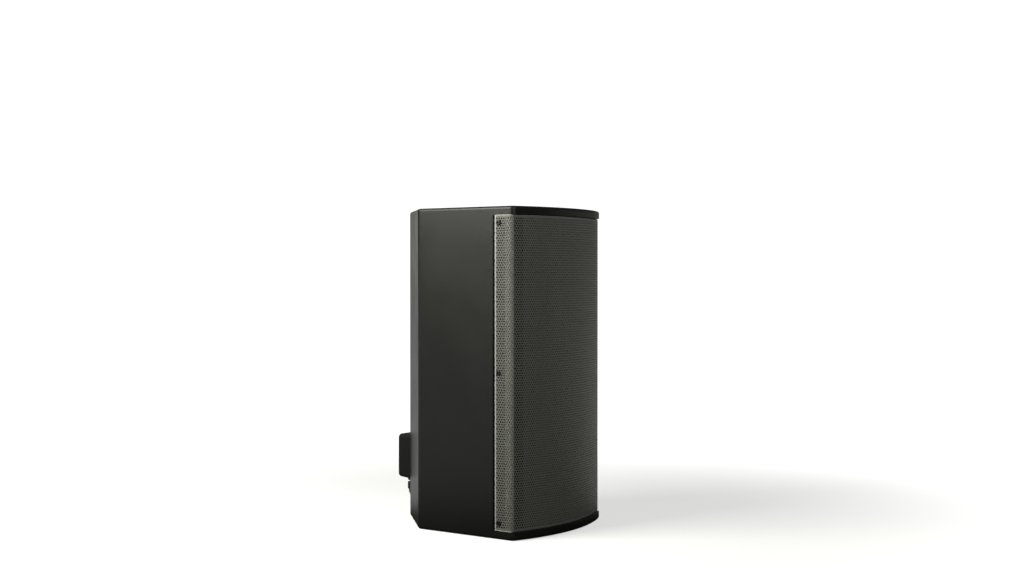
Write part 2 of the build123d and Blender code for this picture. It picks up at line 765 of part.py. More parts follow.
def crossover():
    """Circuit board on spacers, with coils, capacitors and power resistors."""
    middle = Plane((0, BOARD_Y, 0))
    board_top = middle.offset(BOARD_TOP)
    with BuildPart() as board:
        with BuildSketch(middle.offset(BOARD_Z)):
            Rectangle(BOARD[0], BOARD[1])
        extrude(amount=BOARD[2])
        disc_grid(middle.offset(BOARD_Z), BOARD_SCREW_R, BOARD_HOLES, (2, 2), BOARD[2], Mode.SUBTRACT)
    save(board, "crossover_board")
    with BuildPart() as spacers:
        shank = BOARD_SCREW_BITE + SPACER + BOARD[2]
        disc_grid(middle.offset(PLY - BOARD_SCREW_BITE), BOARD_SCREW_R, BOARD_HOLES, (2, 2), shank)
        disc_grid(middle.offset(PLY), SPACER_R, BOARD_HOLES, (2, 2), SPACER)
        disc_grid(board_top, 3, BOARD_HOLES, (2, 2), 2.4)
    save(spacers, "board_spacers")
    with BuildPart() as coils:
        with BuildSketch(board_top):
            for x in COIL_PLACES:
                with Locations((x, 20)):
                    Circle(21)
                    Circle(10, mode=Mode.SUBTRACT)
        extrude(amount=18)
    save(coils, "inductors")
    with BuildPart() as capacitors:
        for x, y, radius, length in CAPACITORS:
            end = Plane(origin=(x - length / 2, BOARD_Y + y, BOARD_TOP + radius), z_dir=(1, 0, 0))
            with BuildSketch(end):
                Circle(radius)
            extrude(amount=length)
    save(capacitors, "capacitors")
    with BuildPart() as resistors:
        with BuildSketch(board_top):
            with Locations(*RESISTORS):
                Rectangle(44, 9)
        extrude(amount=9)
    save(resistors, "resistors")


def internal_leads():
    """Four two-core leads: input to board, and board to each woofer and to the compression driver."""
    tag = (TAG_X + 1.5, TAG_Y + 0.4)
    rise = {name: [(*tag, height), (tag[0], -20, height)] for name, height in WOOFER_HEIGHTS.items()}
    tail = Y_REAR + INPUT_PLATE - STRIP_FOOT
    routes = [
        [(0, tail, COVER_Z), (0, 140, COVER_Z), (0, 92, 70), (0, 92, BOARD_TOP)],
        rise["lower"] + [(60, 25, 70), (60, 25, BOARD_TOP)],
        rise["upper"] + [(85, 30, 380), (85, 55, 150), (60, 75, 85), (60, 75, BOARD_TOP)],
        [
            (0, BAFFLE_FRONT - HF_FACE + 49, 275),
            (0, 50, 275),
            (20, 75, 200),
            (20, 92, 80),
            (20, 92, BOARD_TOP),
        ],
    ]
    with BuildPart() as leads:
        for route in routes:
            with BuildLine(mode=Mode.PRIVATE) as path:
                FilletPolyline(*route, radius=LEAD_BEND)
            with BuildSketch(Plane(origin=path.line @ 0, z_dir=path.line % 0), mode=Mode.PRIVATE) as section:
                Circle(LEAD_R)
            sweep(section.sketch, path=path.line)
            print("lead", round(sum(edge.length for edge in path.edges())), "mm long")
    save(leads, "internal_leads")


def wadding():
    """Four absorbent pads on the insides of the side walls, as plain blocks."""
    with BuildPart() as pads:
        for side in (-1, 1):
            for name, height in WOOFER_HEIGHTS.items():
                x = side * (INNER_HALF - PAD_GAP - PAD_SIZE[0] / 2)
                shift = PAD_SHIFT if name == "lower" else -PAD_SHIFT
                with Locations((x, -12, height + shift)):
                    Box(*PAD_SIZE)
        fillet(pads.edges(), radius=5)
    save(pads, "wadding_pads")


# ---------------------------------------------------------------- rear cable cover and gland


def input_hardware():
    """Plate over the wiring slot, with the barrier strip that the supply cable's cores screw to."""
    with BuildPart() as plate:
        with BuildSketch(rear_plane(COVER_Z)):
            RectangleRounded(40, 50, radius=3)
            Rectangle(20, 5, mode=Mode.SUBTRACT)
        extrude(amount=INPUT_PLATE)
    save(plate, "input_plate")
    with BuildPart() as strip:
        with BuildSketch(rear_plane(COVER_Z).offset(INPUT_PLATE)):
            Rectangle(38, 20)
        extrude(amount=6)
        with BuildSketch(rear_plane(COVER_Z).offset(INPUT_PLATE + 6)):
            with GridLocations(9.1, 1, 5, 1):
                Rectangle(1.6, 20)
        extrude(amount=7)
        with BuildSketch(rear_plane(COVER_Z).offset(INPUT_PLATE)):
            Rectangle(20, 5)
        extrude(amount=-STRIP_FOOT)
    save(strip, "barrier_strip")


def cable_cover():
    """Moulded cover over the terminals, with its gasket and four screws."""
    wide, high = COVER_BASE
    skin = 2 * COVER_WALL
    taper = 2 * COVER_DRAFT
    seat = rear_plane(COVER_Z).offset(COVER_GASKET)
    back = seat.offset(COVER_DEPTH)
    inside_back = seat.offset(COVER_DEPTH - COVER_WALL)
    with BuildPart() as gasket:
        with BuildSketch(rear_plane(COVER_Z)):
            RectangleRounded(wide, high, radius=COVER_CORNER)
            RectangleRounded(wide - skin, high - skin, radius=COVER_CORNER - COVER_WALL, mode=Mode.SUBTRACT)
        extrude(amount=COVER_GASKET)
    save(gasket, "cover_gasket")
    with BuildPart() as cover:
        with BuildSketch(seat):
            RectangleRounded(wide, high, radius=COVER_CORNER)
        with BuildSketch(back):
            RectangleRounded(wide - taper, high - taper, radius=COVER_CORNER)
        loft()
        fillet(cover.faces().sort_by(Axis.Y)[-1].edges(), radius=COVER_EDGE_R)
        with BuildSketch(seat):
            RectangleRounded(wide - skin, high - skin, radius=COVER_CORNER - COVER_WALL)
        with BuildSketch(inside_back):
            RectangleRounded(wide - taper - skin, high - taper - skin, radius=COVER_CORNER - COVER_WALL)
        loft(mode=Mode.SUBTRACT)
        disc_grid(seat, COVER_POST_R, COVER_SCREWS, (2, 2), COVER_DEPTH - COVER_WALL)
        disc_grid(Plane((0, GLAND_Y, GLAND_SEAT)), GLAND_BOSS_R, (1, 1), (1, 1), 8)
        disc_grid(seat, COVER_SCREW_R, COVER_SCREWS, (2, 2), COVER_DEPTH, Mode.SUBTRACT)
        disc_grid(Plane((0, GLAND_Y, GLAND_SEAT)), GLAND_THREAD_R, (1, 1), (1, 1), 8, Mode.SUBTRACT)
    save(cover, "terminal_cover")
    head_r, head = COVER_HEAD
    with BuildPart() as screws:
        shank = COVER_SCREW_BITE + COVER_GASKET + COVER_DEPTH
        disc_grid(rear_plane(COVER_Z).offset(-COVER_SCREW_BITE), COVER_SCREW_R, COVER_SCREWS, (2, 2), shank)
        disc_grid(back, head_r, COVER_SCREWS, (2, 2), head)
    save(screws, "cover_screws")


def cable_gland():
    """Gland that screws into the cover's boss: body, sealing ring and dome nut."""
    axis = Plane((0, GLAND_Y, 0))
    nut_top = 60.0
    nut_waist = 46.0
    tip = 34.0
    with BuildPart() as body:
        with BuildSketch(axis.offset(GLAND_SEAT - GLAND_COLLAR)):
            RegularPolygon(radius=12, side_count=6, major_radius=False)
        extrude(amount=GLAND_COLLAR)
        disc_grid(axis.offset(48), GLAND_NECK_R, (1, 1), (1, 1), GLAND_SEAT - GLAND_COLLAR - 48)
        disc_grid(axis.offset(GLAND_SEAT), GLAND_THREAD_R, (1, 1), (1, 1), 8)
        disc_grid(axis.offset(48), GLAND_BORE_R, (1, 1), (1, 1), GLAND_SEAT + 8 - 48, Mode.SUBTRACT)
    save(body, "gland_body")
    with BuildPart() as seal:
        disc_grid(axis.offset(40), GLAND_BORE_R, (1, 1), (1, 1), 20)
        disc_grid(axis.offset(40), SEAL_BORE_R, (1, 1), (1, 1), 20, Mode.SUBTRACT)
    save(seal, "gland_seal")
    with BuildPart() as nut:
        with BuildSketch(axis.offset(nut_waist)):
            RegularPolygon(radius=12.4, side_count=6, major_radius=False)
        extrude(amount=nut_top - nut_waist)
        for z, radius in ((tip, 9), (40, 11.6), (nut_waist, 12.4)):
            with BuildSketch(axis.offset(z)):
                Circle(radius)
        loft()
        disc_grid(axis.offset(40), GLAND_NECK_R, (1, 1), (1, 1), nut_top - 40, Mode.SUBTRACT)
        disc_grid(axis.offset(tip), 7, (1, 1), (1, 1), 6, Mode.SUBTRACT)
    save(nut, "gland_nut")


# ---------------------------------------------------------------- build

os.makedirs("parts", exist_ok=True)
cap("top_panel", HEIGHT - PLY, -1, HEIGHT - INSERT_LENGTH)
cap("bottom_panel", 0.0, 0, 0.0)
for side_name, side_sign in (("left", -1), ("right", 1)):
    side_panel(f"{side_name}_side_panel", side_sign)
    bevel_panel(f"{side_name}_bevel_panel", side_sign)
rear_panel()
baffle()
braces()
rigging_inserts()
grille()
grille_screws()
for woofer_name, woofer_height in WOOFER_HEIGHTS.items():
    basket(woofer_name, woofer_height)
    woofer_motor(woofer_name, woofer_height)
    woofer_cone(woofer_name, woofer_height)
    woofer_suspension(woofer_name, woofer_height)
woofer_hardware()
horn()
compression_motor()
compression_diaphragm()
reflex_ports()
crossover()
internal_leads()
wadding()
input_hardware()
cable_cover()
cable_gland()
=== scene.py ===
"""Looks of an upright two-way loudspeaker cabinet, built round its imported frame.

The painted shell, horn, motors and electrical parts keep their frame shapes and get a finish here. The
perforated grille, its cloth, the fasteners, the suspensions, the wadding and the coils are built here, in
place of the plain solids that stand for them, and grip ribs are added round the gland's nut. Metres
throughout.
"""

import json
import logging
import math
from dataclasses import dataclass
from enum import Enum

import bmesh
import bpy
import numpy as np
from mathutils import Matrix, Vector


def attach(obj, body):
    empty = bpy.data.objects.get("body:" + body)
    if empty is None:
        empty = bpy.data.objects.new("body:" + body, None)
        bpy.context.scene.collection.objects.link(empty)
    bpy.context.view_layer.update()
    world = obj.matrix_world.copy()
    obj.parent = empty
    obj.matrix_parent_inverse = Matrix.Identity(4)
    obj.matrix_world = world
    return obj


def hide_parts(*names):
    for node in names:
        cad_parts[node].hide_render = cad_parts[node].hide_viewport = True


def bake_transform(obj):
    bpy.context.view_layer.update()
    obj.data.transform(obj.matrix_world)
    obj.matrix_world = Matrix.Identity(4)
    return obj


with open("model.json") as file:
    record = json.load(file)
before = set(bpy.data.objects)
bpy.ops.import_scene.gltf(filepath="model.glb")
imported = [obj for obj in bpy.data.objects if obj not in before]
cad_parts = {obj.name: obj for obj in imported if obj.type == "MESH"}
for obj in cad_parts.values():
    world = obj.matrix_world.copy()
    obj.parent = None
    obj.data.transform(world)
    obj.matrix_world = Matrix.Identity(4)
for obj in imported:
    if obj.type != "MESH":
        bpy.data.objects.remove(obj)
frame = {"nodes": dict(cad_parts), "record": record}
log = logging.getLogger("cabinet")
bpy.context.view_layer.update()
Point = tuple[float, float, float]
Colour = tuple[float, float, float]
Socket = bpy.types.NodeSocket

# Pale grey of the painted highlight along the grille's rims.
RIM_HIGHLIGHT_COLOUR = (0.75, 0.75, 0.72, 1.0)
DUST_COLOUR = (0.32, 0.31, 0.29, 1.0)
RUBBED_GAIN, RUBBED_LIFT = 2.2, 0.02
GLOSS_WANDER = 0.22
RELIEF_STRENGTH = 0.6
WHITE = (1, 1, 1, 1)
DOUBLES = 1e-6


# ---------------------------------------------------------------- plan of the cabinet


@dataclass(frozen=True)
class CabinetPlan:
    """Driving sizes of the cabinet, from which the places of the finer pieces are worked out."""

    height: float = 0.590
    half_width: float = 0.145
    side_run: float = 0.213
    bevel: float = 0.105
    front_rise: float = 0.031
    ply: float = 0.015
    baffle_setback: float = 0.0185
    woofer_rise: float = 0.165

    @property
    def front(self) -> float:
        """Y of the foremost point of the caps."""
        return -(self.front_rise + self.side_run + self.bevel) / 2

    @property
    def corner(self) -> float:
        """Y of the front corners."""
        return self.front + self.front_rise

    @property
    def bevel_start(self) -> float:
        """Y where the sides meet the rear bevels."""
        return self.corner + self.side_run

    @property
    def rear(self) -> float:
        """Y of the rear wall."""
        return -self.front

    @property
    def baffle(self) -> float:
        """Y of the baffle's face."""
        return self.corner + self.baffle_setback

    @property
    def front_radius(self) -> float:
        """Radius of the caps' curved front."""
        return (self.half_width**2 + self.front_rise**2) / (2 * self.front_rise)

    @property
    def arc_centre(self) -> float:
        """Y of the centre of the front's curve."""
        return self.front + self.front_radius

    @property
    def woofers(self) -> dict[str, float]:
        """Height of each woofer's axis, by name."""
        middle = self.height / 2
        return {"lower": middle - self.woofer_rise, "upper": middle + self.woofer_rise}


PLAN = CabinetPlan()


# ---------------------------------------------------------------- shader node groups and finishes


class Pattern(Enum):
    """What a finish's fine relief is made of."""

    PEBBLE = "pebble"
    BRUSHED = "brushed"
    WEAVE = "weave"
    WOUND = "wound"
    WOOD = "wood"
    FIBRE = "fibre"


@dataclass(frozen=True)
class Finish:
    """A surface finish.

    Attributes:
        name: The record's material slot.
        colour: Base colour, linear.
        roughness: Middle roughness.
        pattern: Kind of fine relief.
        scale: Features of the relief per metre.
        depth: Height of the relief, in metres.
        mottle: Share by which the colour wanders.
        metallic: Metallic value.
        coat: Weight of a clear coat.
        sheen: Weight of the sheen of cloth.
        wear: Strength of rubbed edges.
        dust: Strength of dust on upward faces.
        rim: Strength of the painted highlight, a pale colour along a sheet's top, bottom and back rims.
        specular: Specular level.
    """

    name: str
    colour: Colour
    roughness: float
    pattern: Pattern = Pattern.PEBBLE
    scale: float = 900.0
    depth: float = 0.00008
    mottle: float = 0.15
    metallic: float = 0.0
    coat: float = 0.0
    sheen: float = 0.0
    wear: float = 0.0
    dust: float = 0.0
    rim: float = 0.0
    specular: float = 0.5


FINISHES = (
    Finish("cabinet_paint", (0.008, 0.0084, 0.0066), 0.36, scale=1100, depth=0.00010, wear=0.5, dust=0.12),
    Finish("plywood", (0.50, 0.36, 0.21), 0.62, Pattern.WOOD, 60, 0.00005, 0.35),
    # rim below: painted highlight along the sheet's top, bottom and back rims.
    Finish(
        "grille_paint", (0.195, 0.197, 0.178), 0.38,
        scale=2600, depth=0.00002, mottle=0.10, wear=0.35, rim=0.9,
    ),
    Finish("acoustic_cloth", (0.12, 0.12, 0.112), 0.95, Pattern.WEAVE, 1400, 0.00008, 0.2, sheen=0.15),
    Finish("black_steel", (0.012, 0.012, 0.012), 0.34, scale=2200, depth=0.00001, mottle=0.2, wear=0.2),
    Finish("zinc_steel", (0.50, 0.51, 0.51), 0.33, Pattern.BRUSHED, 700, 0.00001, 0.15, metallic=1.0),
    Finish("ferrite", (0.045, 0.045, 0.048), 0.75, scale=900, depth=0.00006, mottle=0.25),
    Finish("black_rubber", (0.018, 0.018, 0.018), 0.72, scale=1800, depth=0.00003),
    Finish("black_plastic", (0.020, 0.020, 0.020), 0.42, scale=2400, depth=0.00003),
    Finish(
        "cover_plastic", (0.005, 0.005, 0.0045), 0.62,
        scale=2000, depth=0.00005, dust=0.06, specular=0.35,
    ),
    Finish("board_laminate", (0.26, 0.20, 0.09), 0.45, Pattern.WEAVE, 1800, 0.00002, 0.15, coat=0.3),
    Finish("cone_paper", (0.028, 0.028, 0.027), 0.82, Pattern.FIBRE, 500, 0.00010, 0.3),
    Finish("cloth_suspension", (0.045, 0.036, 0.030), 0.78, Pattern.WEAVE, 2200, 0.00006, 0.2),
    Finish("copper_wire", (0.72, 0.32, 0.13), 0.28, Pattern.WOUND, 1000, 0.00012, 0.2, 1.0, coat=0.5),
    Finish("capacitor_film", (0.42, 0.34, 0.08), 0.25, scale=300, depth=0.00003, coat=0.4),
    Finish("ceramic", (0.70, 0.68, 0.63), 0.70, scale=1500, depth=0.00004),
    Finish("titanium", (0.58, 0.57, 0.55), 0.30, Pattern.BRUSHED, 900, 0.00001, metallic=1.0),
    Finish("lead_jacket", (0.020, 0.020, 0.020), 0.50, scale=1500, depth=0.00002),
    Finish("wadding", (0.56, 0.55, 0.51), 0.95, Pattern.FIBRE, 260, 0.0006, 0.25, sheen=0.3),
)


class NodeCanvas:
    """Adds and joins nodes in one node tree."""

    def __init__(self, tree: bpy.types.NodeTree) -> None:
        """Takes over an empty tree."""
        self.tree = tree

    def add(self, kind: str, settings: dict | None = None, **values: object) -> bpy.types.Node:
        """Adds a node.

        Args:
            kind: The node's bl_idname.
            settings: Properties to set on the node itself.
            **values: Input sockets by name, with spaces as underscores; an output socket is linked.

        Returns:
            The new node.
        """
        node = self.tree.nodes.new(kind)
        for key, value in (settings or {}).items():
            setattr(node, key, value)
        for key, value in values.items():
            wanted = key.replace("_", " ")
            socket = next(s for s in node.inputs if s.enabled and s.name == wanted)
            self.feed(value, socket)
        return node

    def feed(self, value: object, socket: bpy.types.NodeSocket) -> None:
        """Links an output socket to an input, or sets the input's own value.

        Args:
            value: An output socket or a plain value.
            socket: The input.
        """
        if isinstance(value, bpy.types.NodeSocket):
            self.tree.links.new(value, socket)
        else:
            socket.default_value = value

    def math(self, operation: str, *values: object) -> Socket:
        """Adds a maths node.

        Args:
            operation: What it does.
            *values: Numbers or sockets, in order.

        Returns:
            Its output.
        """
        node = self.tree.nodes.new("ShaderNodeMath")
        node.operation = operation
        for value, socket in zip(values, node.inputs):
            self.feed(value, socket)
        return node.outputs[0]

    def vector(self, operation: str, *values: object) -> bpy.types.Node:
        """Adds a vector maths node.

        Args:
            operation: What it does.
            *values: Vectors or sockets, in order.

        Returns:
            The new node.
        """
        node = self.tree.nodes.new("ShaderNodeVectorMath")
        node.operation = operation
        for value, socket in zip(values, node.inputs):
            self.feed(value, socket)
        return node

    def ramp(self, value: object, low: float, high: float) -> Socket:
        """Smoothly maps a value to a share from 0 to 1.

        Args:
            value: The number or socket to map.
            low: Value that gives 0.
            high: Value that gives 1, above or below low.

        Returns:
            The share.
        """
        node = self.tree.nodes.new("ShaderNodeMapRange")
        node.interpolation_type = "SMOOTHSTEP"
        self.feed(value, node.inputs["Value"])
        node.inputs["From Min"].default_value = low
        node.inputs["From Max"].default_value = high
        return node.outputs["Result"]


def new_group(name: str, inputs: dict[str, float], outputs: tuple[str, ...]) -> tuple:
    """Starts a shader node group whose sockets are all numbers, but for Coordinates.

    Args:
        name: The group's name.
        inputs: Default value of each number, by name.
        outputs: Names of the numbers that it puts out.

    Returns:
        The group, its canvas, its input node and its output node.
    """
    group = bpy.data.node_groups.new(name, "ShaderNodeTree")
    group.interface.new_socket(name="Coordinates", in_out="INPUT", socket_type="NodeSocketVector")
    for key, value in inputs.items():
        socket = group.interface.new_socket(name=key, in_out="INPUT", socket_type="NodeSocketFloat")
        socket.default_value = value
    for key in outputs:
        group.interface.new_socket(name=key, in_out="OUTPUT", socket_type="NodeSocketFloat")
    canvas = NodeCanvas(group)
    return group, canvas, group.nodes.new("NodeGroupInput"), group.nodes.new("NodeGroupOutput")


def relief_group(name: str, scale: float) -> tuple:
    """Starts a group that puts out a relief's height and a slow mottle for colour and gloss.

    Args:
        name: The group's name.
        scale: Default number of features per metre.

    Returns:
        The group's canvas, its coordinates, its scale, and a function that ends it with both outputs.
    """
    group, canvas, source, out = new_group(name, {"Scale": scale}, ("Height", "Mottle"))

    def end(height: Socket, mottle: Socket) -> bpy.types.NodeTree:
        """Joins both outputs and returns the group."""
        canvas.feed(height, out.inputs["Height"])
        canvas.feed(mottle, out.inputs["Mottle"])
        return group

    return canvas, source.outputs["Coordinates"], source.outputs["Scale"], end


def grain_group() -> bpy.types.NodeTree:
    """Pebbled grain of paint and mouldings: a height, and a slow mottle for colour and gloss."""
    canvas, at, scale, end = relief_group("grain", 900.0)
    fine = canvas.add("ShaderNodeTexNoise", Vector=at, Scale=scale, Detail=2.0, Roughness=0.6)
    cells = canvas.add("ShaderNodeTexVoronoi", {"feature": "SMOOTH_F1"}, Vector=at)
    canvas.feed(canvas.math("MULTIPLY", scale, 0.6), cells.inputs["Scale"])
    slow = canvas.add("ShaderNodeTexNoise", Vector=at, Scale=9.0, Detail=5.0, Roughness=0.6)
    bumps = canvas.math("SUBTRACT", 1.0, cells.outputs["Distance"])
    height = canvas.math("ADD", canvas.math("MULTIPLY", bumps, 0.6), fine.outputs["Fac"])
    return end(height, slow.outputs["Fac"])


def brushed_group() -> bpy.types.NodeTree:
    """Fine lines drawn out along X, as on plated sheet and turned plates."""
    canvas, at, scale, end = relief_group("brushed", 700.0)
    stretch = canvas.add("ShaderNodeMapping", Vector=at, Scale=(0.04, 1.0, 1.0))
    lines = canvas.add("ShaderNodeTexNoise", Vector=stretch.outputs[0], Scale=scale)
    slow = canvas.add("ShaderNodeTexNoise", Vector=at, Scale=25.0, Detail=3.0)
    return end(lines.outputs["Fac"], slow.outputs["Fac"])


def weave_group() -> bpy.types.NodeTree:
    """Plain weave: two sets of crossing threads, in X and Z, with uneven threads."""
    canvas, at, scale, end = relief_group("weave", 1400.0)
    axis = canvas.add("ShaderNodeSeparateXYZ", Vector=at)
    turns = canvas.math("MULTIPLY", scale, math.pi)
    warp = canvas.math("SINE", canvas.math("MULTIPLY", axis.outputs["X"], turns))
    weft = canvas.math("SINE", canvas.math("MULTIPLY", axis.outputs["Z"], turns))
    crossing = canvas.math("MULTIPLY", warp, weft)
    slow = canvas.add("ShaderNodeTexNoise", Vector=at, Scale=60.0, Detail=4.0)
    return end(canvas.math("ADD", canvas.math("MULTIPLY", crossing, 0.5), 0.5), slow.outputs["Fac"])


def wound_group() -> bpy.types.NodeTree:
    """Close turns of wire, stacked along Z."""
    canvas, at, scale, end = relief_group("wound", 1000.0)
    axis = canvas.add("ShaderNodeSeparateXYZ", Vector=at)
    turns = canvas.math("MULTIPLY", axis.outputs["Z"], canvas.math("MULTIPLY", scale, math.pi))
    crest = canvas.math("ABSOLUTE", canvas.math("SINE", turns))
    slow = canvas.add("ShaderNodeTexNoise", Vector=at, Scale=120.0)
    return end(crest, slow.outputs["Fac"])


def wood_group() -> bpy.types.NodeTree:
    """Birch veneer: long wavy figure with short pores."""
    canvas, at, scale, end = relief_group("wood", 60.0)
    drawn = canvas.add("ShaderNodeMapping", Vector=at, Scale=(0.12, 1.0, 1.0)).outputs[0]
    figure = canvas.add("ShaderNodeTexNoise", Vector=drawn, Scale=scale, Detail=6.0, Distortion=1.2)
    pores = canvas.add("ShaderNodeTexNoise", Vector=drawn, Scale=900.0)
    return end(pores.outputs["Fac"], figure.outputs["Fac"])


def fibre_group() -> bpy.types.NodeTree:
    """Matted fibres, as in paper pulp and wadding."""
    canvas, at, scale, end = relief_group("fibre", 400.0)
    strands = canvas.add("ShaderNodeTexNoise", Vector=at, Scale=scale, Detail=6.0, Distortion=3.0)
    slow = canvas.add("ShaderNodeTexNoise", Vector=at, Scale=30.0, Detail=4.0)
    return end(strands.outputs["Fac"], slow.outputs["Fac"])


def edge_wear_group() -> bpy.types.NodeTree:
    """Mask of rubbed paint along one pair of upright edges at X = +-Edge X, Y = Edge Y."""
    names = {"Edge X": 0.145, "Edge Y": 0.0, "Width": 0.006, "Amount": 0.5}
    group, canvas, source, out = new_group("edge_wear", names, ("Mask",))
    at = canvas.add("ShaderNodeSeparateXYZ", Vector=source.outputs["Coordinates"])
    across = canvas.math("SUBTRACT", canvas.math("ABSOLUTE", at.outputs["X"]), source.outputs["Edge X"])
    along = canvas.math("SUBTRACT", at.outputs["Y"], source.outputs["Edge Y"])
    squares = (canvas.math("MULTIPLY", gap, gap) for gap in (across, along))
    share = canvas.math("DIVIDE", canvas.math("SQRT", canvas.math("ADD", *squares)), source.outputs["Width"])
    near = canvas.ramp(share, 1.0, 0.0)
    patches = canvas.add("ShaderNodeTexNoise", Vector=source.outputs["Coordinates"], Scale=85.0, Detail=6.0)
    spots = canvas.ramp(patches.outputs["Fac"], 0.48, 0.68)
    mask = canvas.math("MULTIPLY", canvas.math("MULTIPLY", near, spots), source.outputs["Amount"])
    canvas.feed(mask, out.inputs["Mask"])
    return group


def rim_highlight_group() -> bpy.types.NodeTree:
    """Mask of a painted highlight along a sheet's rims: above and below, and behind Y = Back."""
    names = {"Middle": 0.295, "Half Height": 0.28, "Back": -0.1045, "Width": 0.0022, "Amount": 0.8}
    group, canvas, source, out = new_group("rim", names, ("Mask",))
    at = canvas.add("ShaderNodeSeparateXYZ", Vector=source.outputs["Coordinates"])
    off = canvas.math("ABSOLUTE", canvas.math("SUBTRACT", at.outputs["Z"], source.outputs["Middle"]))
    inside = canvas.math("SUBTRACT", source.outputs["Half Height"], off)
    before = canvas.math("SUBTRACT", source.outputs["Back"], at.outputs["Y"])
    nearest = canvas.math("MINIMUM", inside, before)
    share = canvas.math("DIVIDE", nearest, source.outputs["Width"])
    rim = canvas.ramp(share, 1.0, 0.6)
    uneven = canvas.add("ShaderNodeTexNoise", Vector=source.outputs["Coordinates"], Scale=60.0, Detail=4.0)
    patches = canvas.math("ADD", canvas.math("MULTIPLY", uneven.outputs["Fac"], 0.5), 0.6)
    mask = canvas.math("MULTIPLY", canvas.math("MULTIPLY", rim, patches), source.outputs["Amount"])
    canvas.feed(mask, out.inputs["Mask"])
    return group


def dust_group() -> bpy.types.NodeTree:
    """Mask of dust settled on faces that look up."""
    group, canvas, source, out = new_group("dust", {"Amount": 0.1}, ("Mask",))
    facing = canvas.add("ShaderNodeNewGeometry")
    up = canvas.add("ShaderNodeSeparateXYZ", Vector=facing.outputs["Normal"])
    lying = canvas.ramp(up.outputs["Z"], 0.4, 0.95)
    specks = canvas.add("ShaderNodeTexNoise", Vector=source.outputs["Coordinates"], Scale=140.0, Detail=8.0)
    dusty = canvas.math("MULTIPLY", lying, specks.outputs["Fac"])
    mask = canvas.math("MULTIPLY", dusty, source.outputs["Amount"])
    canvas.feed(mask, out.inputs["Mask"])
    return group


